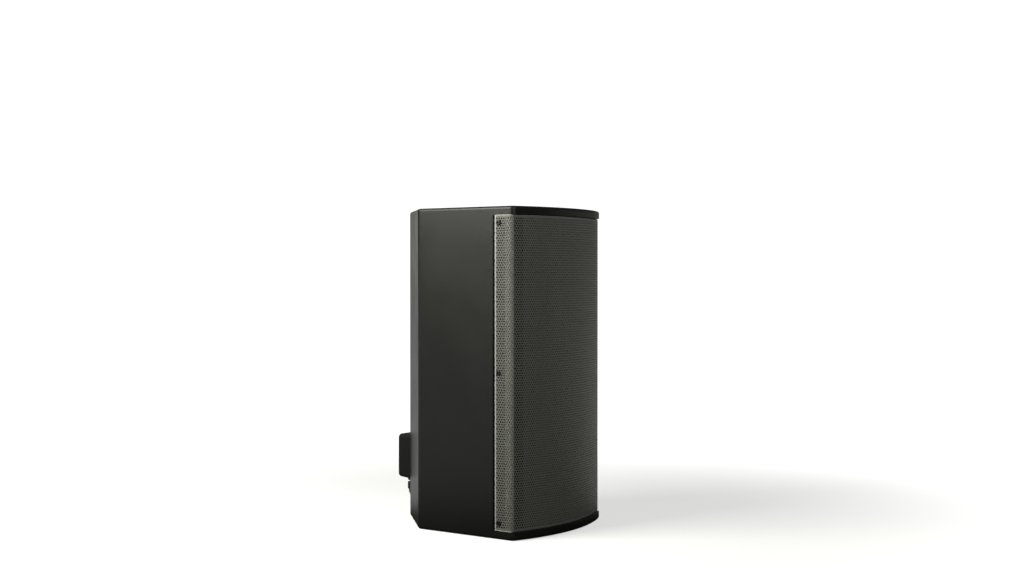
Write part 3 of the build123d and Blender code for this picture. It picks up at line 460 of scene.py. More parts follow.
class FinishShop:
    """Makes one material for each finish out of the shared node groups."""

    def __init__(self) -> None:
        """Builds the shared groups once."""
        self.relief = {
            Pattern.PEBBLE: grain_group(),
            Pattern.BRUSHED: brushed_group(),
            Pattern.WEAVE: weave_group(),
            Pattern.WOUND: wound_group(),
            Pattern.WOOD: wood_group(),
            Pattern.FIBRE: fibre_group(),
        }
        self.edge_wear = edge_wear_group()
        self.dust = dust_group()
        self.rim = rim_highlight_group()
        self.made = {finish.name: self.mix(finish) for finish in FINISHES}

    def mix(self, finish: Finish) -> bpy.types.Material:
        """Builds a finish's material.

        Args:
            finish: The finish.

        Returns:
            The material, with its Principled shader at the end of the tree.
        """
        material = bpy.data.materials.new(finish.name)
        material.use_nodes = True
        canvas = NodeCanvas(material.node_tree)
        shader = material.node_tree.nodes["Principled BSDF"]
        at = canvas.add("ShaderNodeTexCoord").outputs["Object"]
        relief = self.place(canvas, self.relief[finish.pattern], at, Scale=finish.scale)
        shade = tuple(c * (1 - finish.mottle) for c in finish.colour)
        light = tuple(min(1.0, c * (1 + finish.mottle)) for c in finish.colour)
        colour = self.blend(canvas, relief.outputs["Mottle"], (*shade, 1.0), (*light, 1.0))
        if finish.wear:
            rubbed = tuple(min(1.0, c * RUBBED_GAIN + RUBBED_LIFT) for c in finish.colour)
            for edge_x, edge_y in self.rubbed_edges(finish):
                values = {"Edge_X": edge_x, "Edge_Y": edge_y, "Amount": finish.wear}
                worn = self.place(canvas, self.edge_wear, at, **values)
                colour = self.blend(canvas, worn.outputs["Mask"], colour, (*rubbed, 1.0))
        # Painted highlight: the rims are blended towards a pale grey that stands for light caught on them.
        if finish.rim:
            painted_rim_highlight = self.place(canvas, self.rim, at, Amount=finish.rim)
            colour = self.blend(canvas, painted_rim_highlight.outputs["Mask"], colour, RIM_HIGHLIGHT_COLOUR)
        if finish.dust:
            settled = self.place(canvas, self.dust, at, Amount=finish.dust)
            colour = self.blend(canvas, settled.outputs["Mask"], colour, DUST_COLOUR)
        canvas.feed(colour, shader.inputs["Base Color"])
        off_middle = canvas.math("SUBTRACT", relief.outputs["Mottle"], 0.5)
        wander = canvas.math("MULTIPLY", off_middle, GLOSS_WANDER)
        canvas.feed(canvas.math("ADD", wander, finish.roughness), shader.inputs["Roughness"])
        bump = canvas.add("ShaderNodeBump", Height=relief.outputs["Height"], Strength=RELIEF_STRENGTH)
        bump.inputs["Distance"].default_value = finish.depth
        canvas.feed(bump.outputs["Normal"], shader.inputs["Normal"])
        shader.inputs["Metallic"].default_value = finish.metallic
        shader.inputs["Coat Weight"].default_value = finish.coat
        shader.inputs["Sheen Weight"].default_value = finish.sheen
        shader.inputs["Specular IOR Level"].default_value = finish.specular
        return material

    def rubbed_edges(self, finish: Finish) -> tuple[tuple[float, float], ...]:
        """The upright edges that a finish is rubbed along.

        Args:
            finish: The finish.

        Returns:
            Each pair of edges as (half their distance apart, Y).
        """
        front = (PLAN.half_width, PLAN.corner)
        if finish.name == "cabinet_paint":
            back = (PLAN.half_width - PLAN.bevel, PLAN.rear)
            return front, (PLAN.half_width, PLAN.bevel_start), back
        return (front,)

    def place(
        self, canvas: NodeCanvas, group: bpy.types.NodeTree, at: Socket, **values: float
    ) -> bpy.types.Node:
        """Puts a shared group in a material.

        Args:
            canvas: The material's canvas.
            group: The group.
            at: Where its pattern is read.
            **values: The group's own values here, with spaces as underscores.

        Returns:
            The group's node.
        """
        node = canvas.add("ShaderNodeGroup", {"node_tree": group})
        canvas.feed(at, node.inputs["Coordinates"])
        for key, value in values.items():
            node.inputs[key.replace("_", " ")].default_value = value
        return node

    def blend(self, canvas: NodeCanvas, share: Socket, low: object, high: object) -> Socket:
        """Mixes two colours.

        Args:
            canvas: The material's canvas.
            share: Share of the second colour, from 0 to 1.
            low: The first colour or its socket.
            high: The second colour or its socket.

        Returns:
            The mixed colour.
        """
        node = canvas.add("ShaderNodeMix", {"data_type": "RGBA"})
        canvas.feed(share, node.inputs[0])
        canvas.feed(low, node.inputs[6])
        canvas.feed(high, node.inputs[7])
        return node.outputs[2]

    def dress_frame(self) -> None:
        """Gives every frame node the material of its slot in the record."""
        for row in frame["record"]["subparts"]:
            mesh = frame["nodes"][row["node"]].data
            mesh.materials.clear()
            mesh.materials.append(self.made[row["material_slot"]])


# ---------------------------------------------------------------- mesh helpers


def put_in_scene(name: str, data: bpy.types.ID) -> bpy.types.Object:
    """Makes an object of a mesh, curve, light or camera.

    Args:
        name: The object's name.
        data: What it holds.

    Returns:
        The object, at the origin.
    """
    thing = bpy.data.objects.new(name, data)
    bpy.context.scene.collection.objects.link(thing)
    return thing


def make_piece(name: str, mesh: bpy.types.Mesh, material: bpy.types.Material) -> bpy.types.Object:
    """Puts a finished mesh in the scene as a piece.

    Args:
        name: The piece's name.
        mesh: Its mesh.
        material: Its one material.

    Returns:
        The piece.
    """
    mesh.materials.clear()
    mesh.materials.append(material)
    return put_in_scene(name, mesh)


def settle(piece: bpy.types.Object, nodes: tuple[str, ...], body: str | None = "root") -> None:
    """Hides the frame nodes that a piece stands for, hangs it on the body that it rides on, and logs its
    faces.

    Args:
        piece: The piece.
        nodes: The frame nodes that it stands for, or none.
        body: The body that it rides on, or None to leave it unattached.
    """
    if nodes:
        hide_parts(*nodes)
    if body:
        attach(piece, body)
    log.info("%s: %d faces", piece.name, len(piece.data.polygons))


def mesh_from(name: str, points: list, faces: list) -> bpy.types.Mesh:
    """Makes a mesh.

    Args:
        name: The mesh's name.
        points: Its points.
        faces: Its faces, as tuples of point numbers.

    Returns:
        The mesh.
    """
    mesh = bpy.data.meshes.new(name)
    mesh.from_pydata([tuple(p) for p in points], [], faces)
    mesh.update()
    return mesh


def shade_smooth(mesh: bpy.types.Mesh, angle: float = 0.6) -> None:
    """Shades a mesh smooth, but keeps edges sharper than an angle, in radians."""
    mesh.shade_smooth()
    mesh.set_sharp_from_angle(angle=angle)


def frozen(thing: bpy.types.Object) -> bpy.types.Mesh:
    """An object's mesh as it stands, modifiers applied."""
    bpy.context.view_layer.update()
    return bpy.data.meshes.new_from_object(thing.evaluated_get(bpy.context.evaluated_depsgraph_get()))


def turned_mesh(name: str, profile: list[tuple[float, float]], height: float, steps: int) -> bpy.types.Mesh:
    """Turns a closed profile about a driver's axis.

    Args:
        name: Name of the mesh.
        profile: Points of (radius, distance forward of the baffle's face), all off the axis.
        height: Height of the driver's axis.
        steps: Facets round the axis.

    Returns:
        A closed ring with its faces outwards.
    """
    points = []
    for i in range(steps):
        turn = 2 * math.pi * i / steps
        for r, forward in profile:
            points.append((r * math.cos(turn), PLAN.baffle - forward, height + r * math.sin(turn)))
    count = len(profile)
    faces = []
    for i in range(steps):
        here, there = i * count, (i + 1) % steps * count
        for j in range(count):
            k = (j + 1) % count
            faces.append((here + j, here + k, there + k, there + j))
    mesh = mesh_from(name, points, faces)
    outwards(mesh)
    shade_smooth(mesh)
    return mesh


def outwards(mesh: bpy.types.Mesh) -> None:
    """Merges doubles, then points a closed mesh's faces outwards.

    Args:
        mesh: The mesh, changed in place.
    """
    shape = bmesh.new()
    shape.from_mesh(mesh)
    bmesh.ops.remove_doubles(shape, verts=shape.verts, dist=DOUBLES)
    bmesh.ops.recalc_face_normals(shape, faces=shape.faces)
    shape.to_mesh(mesh)
    shape.free()


def node_tree(name: str, inputs: dict[str, str]) -> tuple:
    """Starts a geometry node tree.

    Args:
        name: The tree's name.
        inputs: Socket type of each named input, without its NodeSocket prefix.

    Returns:
        The tree's canvas, its input node and its output node.
    """
    tree = bpy.data.node_groups.new(name, "GeometryNodeTree")
    tree.interface.new_socket(name="Geometry", in_out="INPUT", socket_type="NodeSocketGeometry")
    for key, kind in inputs.items():
        tree.interface.new_socket(name=key, in_out="INPUT", socket_type=f"NodeSocket{kind}")
    tree.interface.new_socket(name="Geometry", in_out="OUTPUT", socket_type="NodeSocketGeometry")
    return NodeCanvas(tree), tree.nodes.new("NodeGroupInput"), tree.nodes.new("NodeGroupOutput")


def end_tree(canvas: NodeCanvas, shape: Socket, source: bpy.types.Node, out: bpy.types.Node) -> None:
    """Ends a geometry node tree with real geometry in one material.

    Args:
        canvas: The tree's canvas.
        shape: The finished shape.
        source: The tree's input node, with a Material input.
        out: The tree's output node.
    """
    real = canvas.add("GeometryNodeRealizeInstances", Geometry=shape)
    painted = canvas.add("GeometryNodeSetMaterial", Geometry=real.outputs[0])
    canvas.feed(source.outputs["Material"], painted.inputs["Material"])
    canvas.feed(painted.outputs[0], out.inputs[0])


def grow(
    name: str,
    base: bpy.types.Mesh,
    tree: bpy.types.NodeTree,
    values: dict[str, object],
    thickness: float = 0.0,
) -> bpy.types.Mesh:
    """Runs a geometry node tree on a mesh and returns the plain result.

    Args:
        name: Name of the result.
        base: The mesh that goes in.
        tree: The tree.
        values: The tree's inputs, by name.
        thickness: Thickness given to the result, inwards from its faces; 0 leaves it as it is.

    Returns:
        The new mesh.
    """
    carrier = put_in_scene(name, base)
    modifier = carrier.modifiers.new(name, "NODES")
    modifier.node_group = tree
    for item in tree.interface.items_tree:
        if item.item_type == "SOCKET" and item.in_out == "INPUT" and item.name in values:
            modifier[item.identifier] = values[item.name]
    if thickness:
        solid = carrier.modifiers.new("thickness", "SOLIDIFY")
        solid.thickness = thickness
        solid.offset = -1.0
    carrier.update_tag()
    mesh = frozen(carrier)
    mesh.name = name
    bpy.data.objects.remove(carrier)
    return mesh


# ---------------------------------------------------------------- grille


@dataclass
class Grille:
    """Folded perforated steel sheet, in three runs of columns, and the cloth behind its front."""

    sheet: float = 0.0015
    pitch: float = 0.005
    row_pitch: float = 0.005 * math.sqrt(3) / 2
    hole: float = 0.0036
    columns: int = 72
    rows: int = 127
    inset: float = 0.003
    rebate: float = 0.002
    gap: float = 0.0005
    flange_back: float = 0.039
    bend: float = 0.009
    bend_steps: int = 14
    front_steps: int = 160
    roll: float = 0.0026
    roll_steps: tuple[float, ...] = (0.0, 0.12, 0.3, 0.55, 0.8, 1.0)
    roll_fade: tuple[float, float] = (0.1430, 0.1400)
    weld: float = 0.00004
    felt: tuple[float, float] = (0.0018, 0.0033)
    runs: tuple[str, ...] = ("left", "front", "right")
    cloth_half: float = 0.120
    cloth_margin: float = 0.004
    cloth_gap: float = 0.0005
    cloth_thick: float = 0.0004
    cloth_cells: tuple[int, int] = (60, 120)
    cloth_ripple: float = 0.00015
    felt_clear: float = 0.0005
    felt_behind: float = 0.0004

    @property
    def half(self) -> float:
        """Half the width over the flanges."""
        return PLAN.half_width - self.rebate + self.sheet

    @property
    def radius(self) -> float:
        """Radius of the front's outer face."""
        return PLAN.front_radius - self.inset

    @property
    def sheet_height(self) -> float:
        """Height of the sheet."""
        return PLAN.height - 2 * (PLAN.ply + self.gap)

    def outline(self, depth: float = 0.0) -> list[tuple[float, float]]:
        """Plan of the sheet, from the back of the left flange round to the back of the right.

        Args:
            depth: How far inside the outer face the plan is taken.

        Returns:
            Points of (x, y).
        """
        bend = self.bend - depth
        reach, drop = self.half - self.bend, self.radius - self.bend
        bend_y = PLAN.arc_centre - math.sqrt(drop**2 - reach**2)
        lean = math.asin(reach / drop)
        points = [(-self.half + depth, PLAN.corner + self.flange_back)]
        for i in range(self.bend_steps + 1):
            turn = math.pi / 2 + (lean - math.pi / 2) * i / self.bend_steps
            points.append((-reach - bend * math.sin(turn), bend_y - bend * math.cos(turn)))
        near = self.radius - depth
        for i in range(1, self.front_steps):
            turn = -lean + 2 * lean * i / self.front_steps
            points.append((near * math.sin(turn), PLAN.arc_centre - near * math.cos(turn)))
        return points + [(-x, y) for x, y in reversed(points[: self.bend_steps + 2])]

    def profile(self) -> tuple[bpy.types.Object, float]:
        """The plan outline as a curve, with its length."""
        points = self.outline()
        curve = bpy.data.curves.new("grille_profile", "CURVE")
        curve.dimensions = "3D"
        spline = curve.splines.new("POLY")
        spline.points.add(len(points) - 1)
        for place, (x, y) in zip(spline.points, points):
            place.co = (x, y, 0, 1)
        length = sum(math.dist(a, b) for a, b in zip(points, points[1:]))
        return put_in_scene("grille_profile", curve), length

    def cell(self) -> bpy.types.Object:
        """One brick of sheet round a hole: eight corners outside and eight round the hole."""
        across, up, reach = self.pitch / 2, self.row_pitch / 2, self.hole / 2
        right = [(across, 0), (across, up), (0, up)]
        left = [(-across, up), (-across, 0), (-across, -up)]
        rim = [*right, *left, (0, -up), (across, -up)]
        count = len(rim)
        turns = [2 * math.pi * i / count for i in range(count)]
        points = [(x, y, 0) for x, y in rim]
        points += [(math.cos(turn) * reach, math.sin(turn) * reach, 0) for turn in turns]
        faces = [(i, (i + 1) % count, count + (i + 1) % count, count + i) for i in range(count)]
        return put_in_scene("grille_cell", mesh_from("grille_cell", points, faces))

    def border(self, first: int, last: int, side: float, foot: float, length: float) -> bpy.types.Mesh:
        """The unperforated edge of one run of columns, laid flat.

        Args:
            first: First column of the run.
            last: One past the last column.
            side: Width of the plain edge at each end of the sheet.
            foot: Width of the plain edge at the top and the bottom.
            length: Length of the sheet round its outline.

        Returns:
            The flat mesh, whose corners meet those of the perforated bricks.
        """
        points, faces = [], []

        def polygon(*corners: tuple[float, float]) -> None:
            """Adds one face by its corners."""
            faces.append(tuple(range(len(points), len(points) + len(corners))))
            points.extend((u, v, 0) for u, v in corners)

        half, top = self.pitch / 2, self.sheet_height
        left_run, right_run = first == 0, last == self.columns
        steps = 2 * (last - first) + (1 if right_run else 0)
        levels = [self.roll * share for share in self.roll_steps] + [foot]
        lower_strips = list(zip(levels, levels[1:]))
        strips = lower_strips + [(top - high, top - low) for low, high in lower_strips]
        for low, high in strips:
            for i in range(steps):
                a = side + first * self.pitch + i * half
                polygon((a, low), (a + half, low), (a + half, high), (a, high))
            if left_run:
                polygon((0, low), (side, low), (side, high), (0, high))
            if right_run:
                polygon((length - side, low), (length, low), (length, high), (length - side, high))
        for row in range(self.rows):
            low = foot + row * self.row_pitch
            mid, high = low + self.row_pitch / 2, low + self.row_pitch
            odd = row % 2 == 1
            if left_run:
                polygon((0, low), (side, low), (side, mid), (side, high), (0, high))
            if left_run and odd:
                b = side + half
                polygon((side, low), (b, low), (b, mid), (b, high), (side, high), (side, mid))
            a = length - side
            if right_run:
                polygon((a, low), (length, low), (length, high), (a, high), (a, mid))
            if right_run and not odd:
                polygon((a - half, low), (a, low), (a, mid), (a, high), (a - half, high), (a - half, mid))
        return mesh_from("grille_border", points, faces)

    def tree(self) -> bpy.types.NodeTree:
        """Lays staggered bricks in a grid, joins the border, and folds it all round the outline."""
        sizes = ("Pitch", "Row Pitch", "Side Margin", "Foot Margin", "Base Height", "Sheet Height", "Roll")
        counts = ("First Column", "Columns", "Rows")
        inputs = {"Cell": "Object", "Profile": "Object", "Material": "Material"}
        inputs |= {key: "Float" for key in sizes} | {key: "Int" for key in counts}
        canvas, source, out = node_tree("perforated_sheet", inputs)
        pitch, row_pitch, side, foot, base, height, roll = (source.outputs[key] for key in sizes)
        first, columns, rows = (source.outputs[key] for key in counts)
        grid = canvas.add("GeometryNodeMeshGrid", Vertices_X=columns, Vertices_Y=rows)
        spans = {"Size X": (columns, pitch), "Size Y": (rows, row_pitch)}
        for key, (number, step) in spans.items():
            gaps = canvas.math("SUBTRACT", number, 1.0)
            canvas.feed(canvas.math("MULTIPLY", gaps, step), grid.inputs[key])
        place = canvas.add("GeometryNodeInputPosition").outputs[0]
        at = canvas.add("ShaderNodeSeparateXYZ", Vector=place)
        half_count = canvas.math("MULTIPLY", columns, 0.5)
        middle = canvas.math("MULTIPLY", canvas.math("ADD", first, half_count), pitch)
        u = canvas.math("ADD", canvas.math("ADD", at.outputs["X"], middle), side)
        half_rise = canvas.math("MULTIPLY", canvas.math("MULTIPLY", rows, 0.5), row_pitch)
        above = canvas.math("ADD", at.outputs["Y"], half_rise)
        row = canvas.math("ROUND", canvas.math("SUBTRACT", canvas.math("DIVIDE", above, row_pitch), 0.5))
        odd = canvas.math("MODULO", row, 2.0)
        stagger = canvas.math("MULTIPLY", odd, canvas.math("MULTIPLY", pitch, 0.5))
        v = canvas.math("ADD", above, foot)
        moved = canvas.add("ShaderNodeCombineXYZ", X=canvas.math("ADD", u, stagger), Y=v)
        laid = canvas.add("GeometryNodeSetPosition", Geometry=grid.outputs["Mesh"], Position=moved.outputs[0])
        cell = canvas.add("GeometryNodeObjectInfo", Object=source.outputs["Cell"]).outputs["Geometry"]
        bricks = canvas.add("GeometryNodeInstanceOnPoints", Points=laid.outputs[0], Instance=cell)
        real = canvas.add("GeometryNodeRealizeInstances", Geometry=bricks.outputs[0])
        joined = canvas.add("GeometryNodeJoinGeometry", Geometry=real.outputs[0])
        canvas.tree.links.new(source.outputs["Geometry"], joined.inputs[0])
        welded = canvas.add("GeometryNodeMergeByDistance", Geometry=joined.outputs[0], Distance=self.weld)
        flat = canvas.add("ShaderNodeSeparateXYZ", Vector=place)
        outline = canvas.add("GeometryNodeObjectInfo", Object=source.outputs["Profile"])
        sample = canvas.add(
            "GeometryNodeSampleCurve",
            {"mode": "LENGTH", "use_all_curves": True},
            Curves=outline.outputs["Geometry"],
            Length=flat.outputs["X"],
        )
        lift = canvas.add("ShaderNodeCombineXYZ", Z=canvas.math("ADD", flat.outputs["Y"], base))
        to_rim = canvas.math("MINIMUM", flat.outputs["Y"], canvas.math("SUBTRACT", height, flat.outputs["Y"]))
        share = canvas.math("MAXIMUM", canvas.math("SUBTRACT", 1.0, canvas.math("DIVIDE", to_rim, roll)), 0.0)
        square = canvas.math("MULTIPLY", share, share)
        rest = canvas.math("MAXIMUM", canvas.math("SUBTRACT", 1.0, square), 0.0)
        drop = canvas.math("MULTIPLY", roll, canvas.math("SUBTRACT", 1.0, canvas.math("SQRT", rest)))
        along = canvas.add("ShaderNodeSeparateXYZ", Vector=sample.outputs["Position"])
        front_only = canvas.ramp(canvas.math("ABSOLUTE", along.outputs["X"]), *self.roll_fade)
        inward = canvas.vector("CROSS_PRODUCT", (0.0, 0.0, 1.0), sample.outputs["Tangent"])
        rolled = canvas.vector("SCALE", inward.outputs["Vector"])
        canvas.feed(canvas.math("MULTIPLY", drop, front_only), rolled.inputs["Scale"])
        upright = canvas.vector("ADD", sample.outputs["Position"], lift.outputs[0])
        folded = canvas.vector("ADD", upright.outputs[0], rolled.outputs["Vector"])
        shaped = canvas.add("GeometryNodeSetPosition", Geometry=welded.outputs[0], Position=folded.outputs[0])
        end_tree(canvas, shaped.outputs[0], source, out)
        return canvas.tree

    def build(self, shop: FinishShop) -> None:
        """Makes the three runs of the sheet, and the cloth."""
        profile, length = self.profile()
        cell, tree = self.cell(), self.tree()
        side = (length - (self.columns + 0.5) * self.pitch) / 2
        foot = (self.sheet_height - self.rows * self.row_pitch) / 2
        share = self.columns // len(self.runs)
        paint = shop.made["grille_paint"]
        for i, run in enumerate(self.runs):
            values = {
                "Cell": cell,
                "Profile": profile,
                "Material": paint,
                "First Column": i * share,
                "Columns": share,
                "Rows": self.rows,
                "Pitch": self.pitch,
                "Row Pitch": self.row_pitch,
                "Side Margin": side,
                "Foot Margin": foot,
                "Base Height": PLAN.ply + self.gap,
                "Sheet Height": self.sheet_height,
                "Roll": self.roll,
            }
            border = self.border(i * share, (i + 1) * share, side, foot, length)
            mesh = grow(f"grille_{run}", border, tree, values, self.sheet)
            settle(make_piece(f"grille_{run}", mesh, paint), ("grille",))
        bpy.data.objects.remove(profile)
        bpy.data.objects.remove(cell)
        self.cloth(shop)
        self.felt_strips(shop)

    def cloth(self, shop: FinishShop) -> None:
        """Acoustic cloth drawn tight against the inside of the front."""
        near = self.radius - self.sheet - self.cloth_gap
        lean = math.asin(self.cloth_half / near)
        low, high = PLAN.ply + self.cloth_margin, PLAN.height - PLAN.ply - self.cloth_margin
        across, up = self.cloth_cells
        points, faces = [], []
        for j in range(up + 1):
            for i in range(across + 1):
                turn = lean * (2 * i / across - 1)
                ripple = self.cloth_ripple * math.sin(i * 0.9) * math.sin(j * 0.35)
                reach = near - ripple
                z = low + (high - low) * j / up
                points.append((reach * math.sin(turn), PLAN.arc_centre - reach * math.cos(turn), z))
        for j in range(up):
            for i in range(across):
                a = j * (across + 1) + i
                faces.append((a, a + 1, a + across + 2, a + across + 1))
        mesh = mesh_from("grille_cloth_weave", points, faces)
        shade_smooth(mesh)
        piece = make_piece("grille_cloth_weave", mesh, shop.made["acoustic_cloth"])
        thick = piece.modifiers.new("thickness", "SOLIDIFY")
        thick.thickness = self.cloth_thick
        thick.offset = -1.0
        settle(piece, ("grille_cloth",))

    def felt_strips(self, shop: FinishShop) -> None:
        """Pale felt glued inside both flanges, in front of the baffle, that keeps the sheet quiet."""
        low = PLAN.ply + self.gap + self.felt_clear
        high = PLAN.height - low
        loops = []
        for depth in self.felt:
            loop = self.outline(depth)[: self.bend_steps + 2]
            loop[0] = (loop[0][0], PLAN.baffle - self.felt_behind)
            loops.append(loop)
        section = loops[0] + loops[1][::-1]
        count = len(section)
        for side, sign in (("left", 1), ("right", -1)):
            points = [(sign * x, y, z) for z in (low, high) for x, y in section]
            faces = [(i, (i + 1) % count, count + (i + 1) % count, count + i) for i in range(count)]
            for base in (0, count):
                end = base + count - 1
                faces += [(base + i, base + i + 1, end - 1 - i, end - i) for i in range(count // 2 - 1)]
            mesh = mesh_from(f"{side}_felt_strip", points, faces)
            outwards(mesh)
            shade_smooth(mesh)
            settle(make_piece(f"{side}_felt_strip", mesh, shop.made["wadding"]), ())


# ---------------------------------------------------------------- fasteners


@dataclass(frozen=True)
class Fastener:
    """A screw with a rounded head and a hexagonal socket.

    Attributes:
        head_radius: Radius of the head.
        head_height: Height of the head.
        shank_radius: Radius of the plain shank.
        shank_length: Length of the shank below the head.
        socket: Socket's radius as a share of the head's.
        steps: Facets round the axis.
        point: Share of the shank's radius left at its tip.
        foot: Share of the head's radius at its underside.
        foot_rise: Share of the head's height where it is widest.
        crown: Shares of the head's radius: the flat top, and the rounding beside it.
        skirt: Shares of the head's height: the straight skirt, and the rounding above it.
        crown_steps: Steps of the rounding.
        socket_lip: Chamfer round the socket, as a share of the head's radius.
        socket_levels: Shares of the head's height at the socket's mouth and its floor.
        socket_draft: Narrowing of the socket to its floor.
    """

    head_radius: float
    head_height: float
    shank_radius: float
    shank_length: float
    socket: float = 0.42
    steps: int = 24
    point: float = 0.6
    foot: float = 0.97
    foot_rise: float = 0.1
    crown: tuple[float, float] = (0.62, 0.38)
    skirt: tuple[float, float] = (0.35, 0.65)
    crown_steps: int = 5
    socket_lip: float = 0.04
    socket_levels: tuple[float, float] = (0.96, 0.35)
    socket_draft: float = 0.96

    def ring(self, radius: float, z: float, hexagon: bool = False) -> list[Point]:
        """A loop of points.

        Args:
            radius: Its radius, at a hexagon's corners.
            z: Its height.
            hexagon: Whether it follows a hexagon's sides.

        Returns:
            The points.
        """
        points = []
        for i in range(self.steps):
            turn = 2 * math.pi * i / self.steps
            flat = math.cos(math.pi / 6) / math.cos((turn % (math.pi / 3)) - math.pi / 6)
            reach = radius * (flat if hexagon else 1.0)
            points.append((reach * math.cos(turn), reach * math.sin(turn), z))
        return points

    def mesh(self) -> bpy.types.Mesh:
        """The screw along +Z, with the underside of its head at the origin."""
        r, h = self.head_radius, self.head_height
        tip = self.point * self.shank_radius
        rings = [
            self.ring(tip, -self.shank_length),
            self.ring(self.shank_radius, -self.shank_length + tip),
            self.ring(self.shank_radius, 0),
            self.ring(r * self.foot, 0),
            self.ring(r, h * self.foot_rise),
        ]
        for i in range(1, self.crown_steps + 1):
            turn = math.pi / 2 * i / self.crown_steps
            spread = r * (self.crown[0] + self.crown[1] * math.cos(turn))
            rings.append(self.ring(spread, h * (self.skirt[0] + self.skirt[1] * math.sin(turn))))
        mouth, floor = self.socket_levels
        rings.append(self.ring(r * (self.socket + self.socket_lip), h))
        rings.append(self.ring(r * self.socket, h * mouth, hexagon=True))
        rings.append(self.ring(r * self.socket * self.socket_draft, h * floor, hexagon=True))
        points = [p for ring in rings for p in ring]
        faces = []
        for j in range(len(rings) - 1):
            for i in range(self.steps):
                k = (i + 1) % self.steps
                a, b = j * self.steps, (j + 1) * self.steps
                faces.append((a + i, a + k, b + k, b + i))
        faces.append(tuple(reversed(range(self.steps))))
        faces.append(tuple(range(len(points) - self.steps, len(points))))
        mesh = mesh_from("fastener", points, faces)
        outwards(mesh)
        shade_smooth(mesh)
        return mesh


@dataclass
class FastenerSets:
    """Every set of screws, each grown over its own list of places."""

    grille: Fastener = Fastener(0.0048, 0.0022, 0.0025, 0.0135)
    cover: Fastener = Fastener(0.0036, 0.0020, 0.0020, 0.0495)
    woofer: Fastener = Fastener(0.0044, 0.0035, 0.0025, 0.0185)
    horn: Fastener = Fastener(0.0039, 0.0026, 0.0020, 0.0160)
    grille_setback: float = 0.0308
    grille_rise: float = 0.2655
    cover_height: float = 0.114
    cover_spread: tuple[float, float] = (0.023, 0.032)
    cover_back: float = 0.0375
    woofer_ring: float = 0.0985
    woofer_count: int = 8
    woofer_front: float = 0.0055
    horn_spread: tuple[float, float] = (0.119, 0.053)
    horn_front: float = 0.005

    def tree(self) -> bpy.types.NodeTree:
        """Puts a screw at every point, turned to the way that point faces, each rolled at random."""
        inputs = {"Fastener": "Object", "Seed": "Int", "Material": "Material"}
        canvas, source, out = node_tree("fasteners", inputs)
        facing = canvas.add("GeometryNodeInputNamedAttribute", {"data_type": "FLOAT_VECTOR"}, Name="facing")
        turn = canvas.add("FunctionNodeAlignRotationToVector", {"axis": "Z"}, Vector=facing.outputs[0])
        roll = canvas.add("FunctionNodeRandomValue", {"data_type": "FLOAT"})
        limits = [s for s in roll.inputs if s.enabled]
        limits[0].default_value, limits[1].default_value = 0.0, math.pi / 3
        canvas.feed(source.outputs["Seed"], next(s for s in limits if s.name == "Seed"))
        value = next(s for s in roll.outputs if s.enabled)
        screw = canvas.add("GeometryNodeObjectInfo", Object=source.outputs["Fastener"])
        spin = canvas.add("ShaderNodeCombineXYZ", Z=value)
        local = canvas.add("FunctionNodeEulerToRotation", Euler=spin.outputs[0])
        both = canvas.add("FunctionNodeRotateRotation", {"rotation_space": "LOCAL"})
        canvas.feed(turn.outputs[0], both.inputs[0])
        canvas.feed(local.outputs[0], both.inputs[1])
        put = canvas.add("GeometryNodeInstanceOnPoints", Points=source.outputs["Geometry"])
        canvas.feed(screw.outputs["Geometry"], put.inputs["Instance"])
        canvas.feed(both.outputs[0], put.inputs["Rotation"])
        end_tree(canvas, put.outputs[0], source, out)
        return canvas.tree

    def places(self) -> dict[str, tuple[Fastener, list[tuple[Point, Point]]]]:
        """Works out where every screw goes.

        Returns:
            Each set's screw, with the place and facing of every head, by the node that it stands for.
        """
        middle, front = PLAN.height / 2, (0.0, -1.0, 0.0)
        grille, woofer, cover, horn = [], [], [], []
        half = Grille().half
        for side in (-1, 1):
            for step in (-1, 0, 1):
                z = middle + step * self.grille_rise
                place = (side * half, PLAN.corner + self.grille_setback, z)
                grille.append((place, (float(side), 0.0, 0.0)))
        for sx in (-1, 1):
            for sz in (-1, 1):
                x, z = sx * self.cover_spread[0], self.cover_height + sz * self.cover_spread[1]
                cover.append(((x, PLAN.rear + self.cover_back, z), (0.0, 1.0, 0.0)))
        for height in PLAN.woofers.values():
            for i in range(self.woofer_count):
                turn = 2 * math.pi * (i + 0.5) / self.woofer_count
                x, z = self.woofer_ring * math.cos(turn), height + self.woofer_ring * math.sin(turn)
                woofer.append(((x, PLAN.baffle - self.woofer_front, z), front))
        for sx in (-1, 0, 1):
            for sz in (-1, 0, 1):
                if sx or sz:
                    x, z = sx * self.horn_spread[0], middle + sz * self.horn_spread[1]
                    horn.append(((x, PLAN.baffle - self.horn_front, z), front))
        return {
            "grille_screws": (self.grille, grille),
            "cover_screws": (self.cover, cover),
            "woofer_screws": (self.woofer, woofer),
            "horn_screws": (self.horn, horn),
        }

    def build(self, shop: FinishShop) -> None:
        """Grows every set."""
        tree, steel = self.tree(), shop.made["black_steel"]
        for seed, (node, (fastener, spots)) in enumerate(self.places().items()):
            base = mesh_from(f"{node}_places", [place for place, _ in spots], [])
            facing = base.attributes.new("facing", "FLOAT_VECTOR", "POINT")
            facing.data.foreach_set("vector", [value for _, way in spots for value in way])
            screw = put_in_scene("fastener", fastener.mesh())
            mesh = grow(f"{node}_cut", base, tree, {"Fastener": screw, "Seed": seed, "Material": steel})
            bpy.data.objects.remove(screw)
            settle(make_piece(f"{node}_cut", mesh, steel), (node,))


# ---------------------------------------------------------------- woofer suspensions


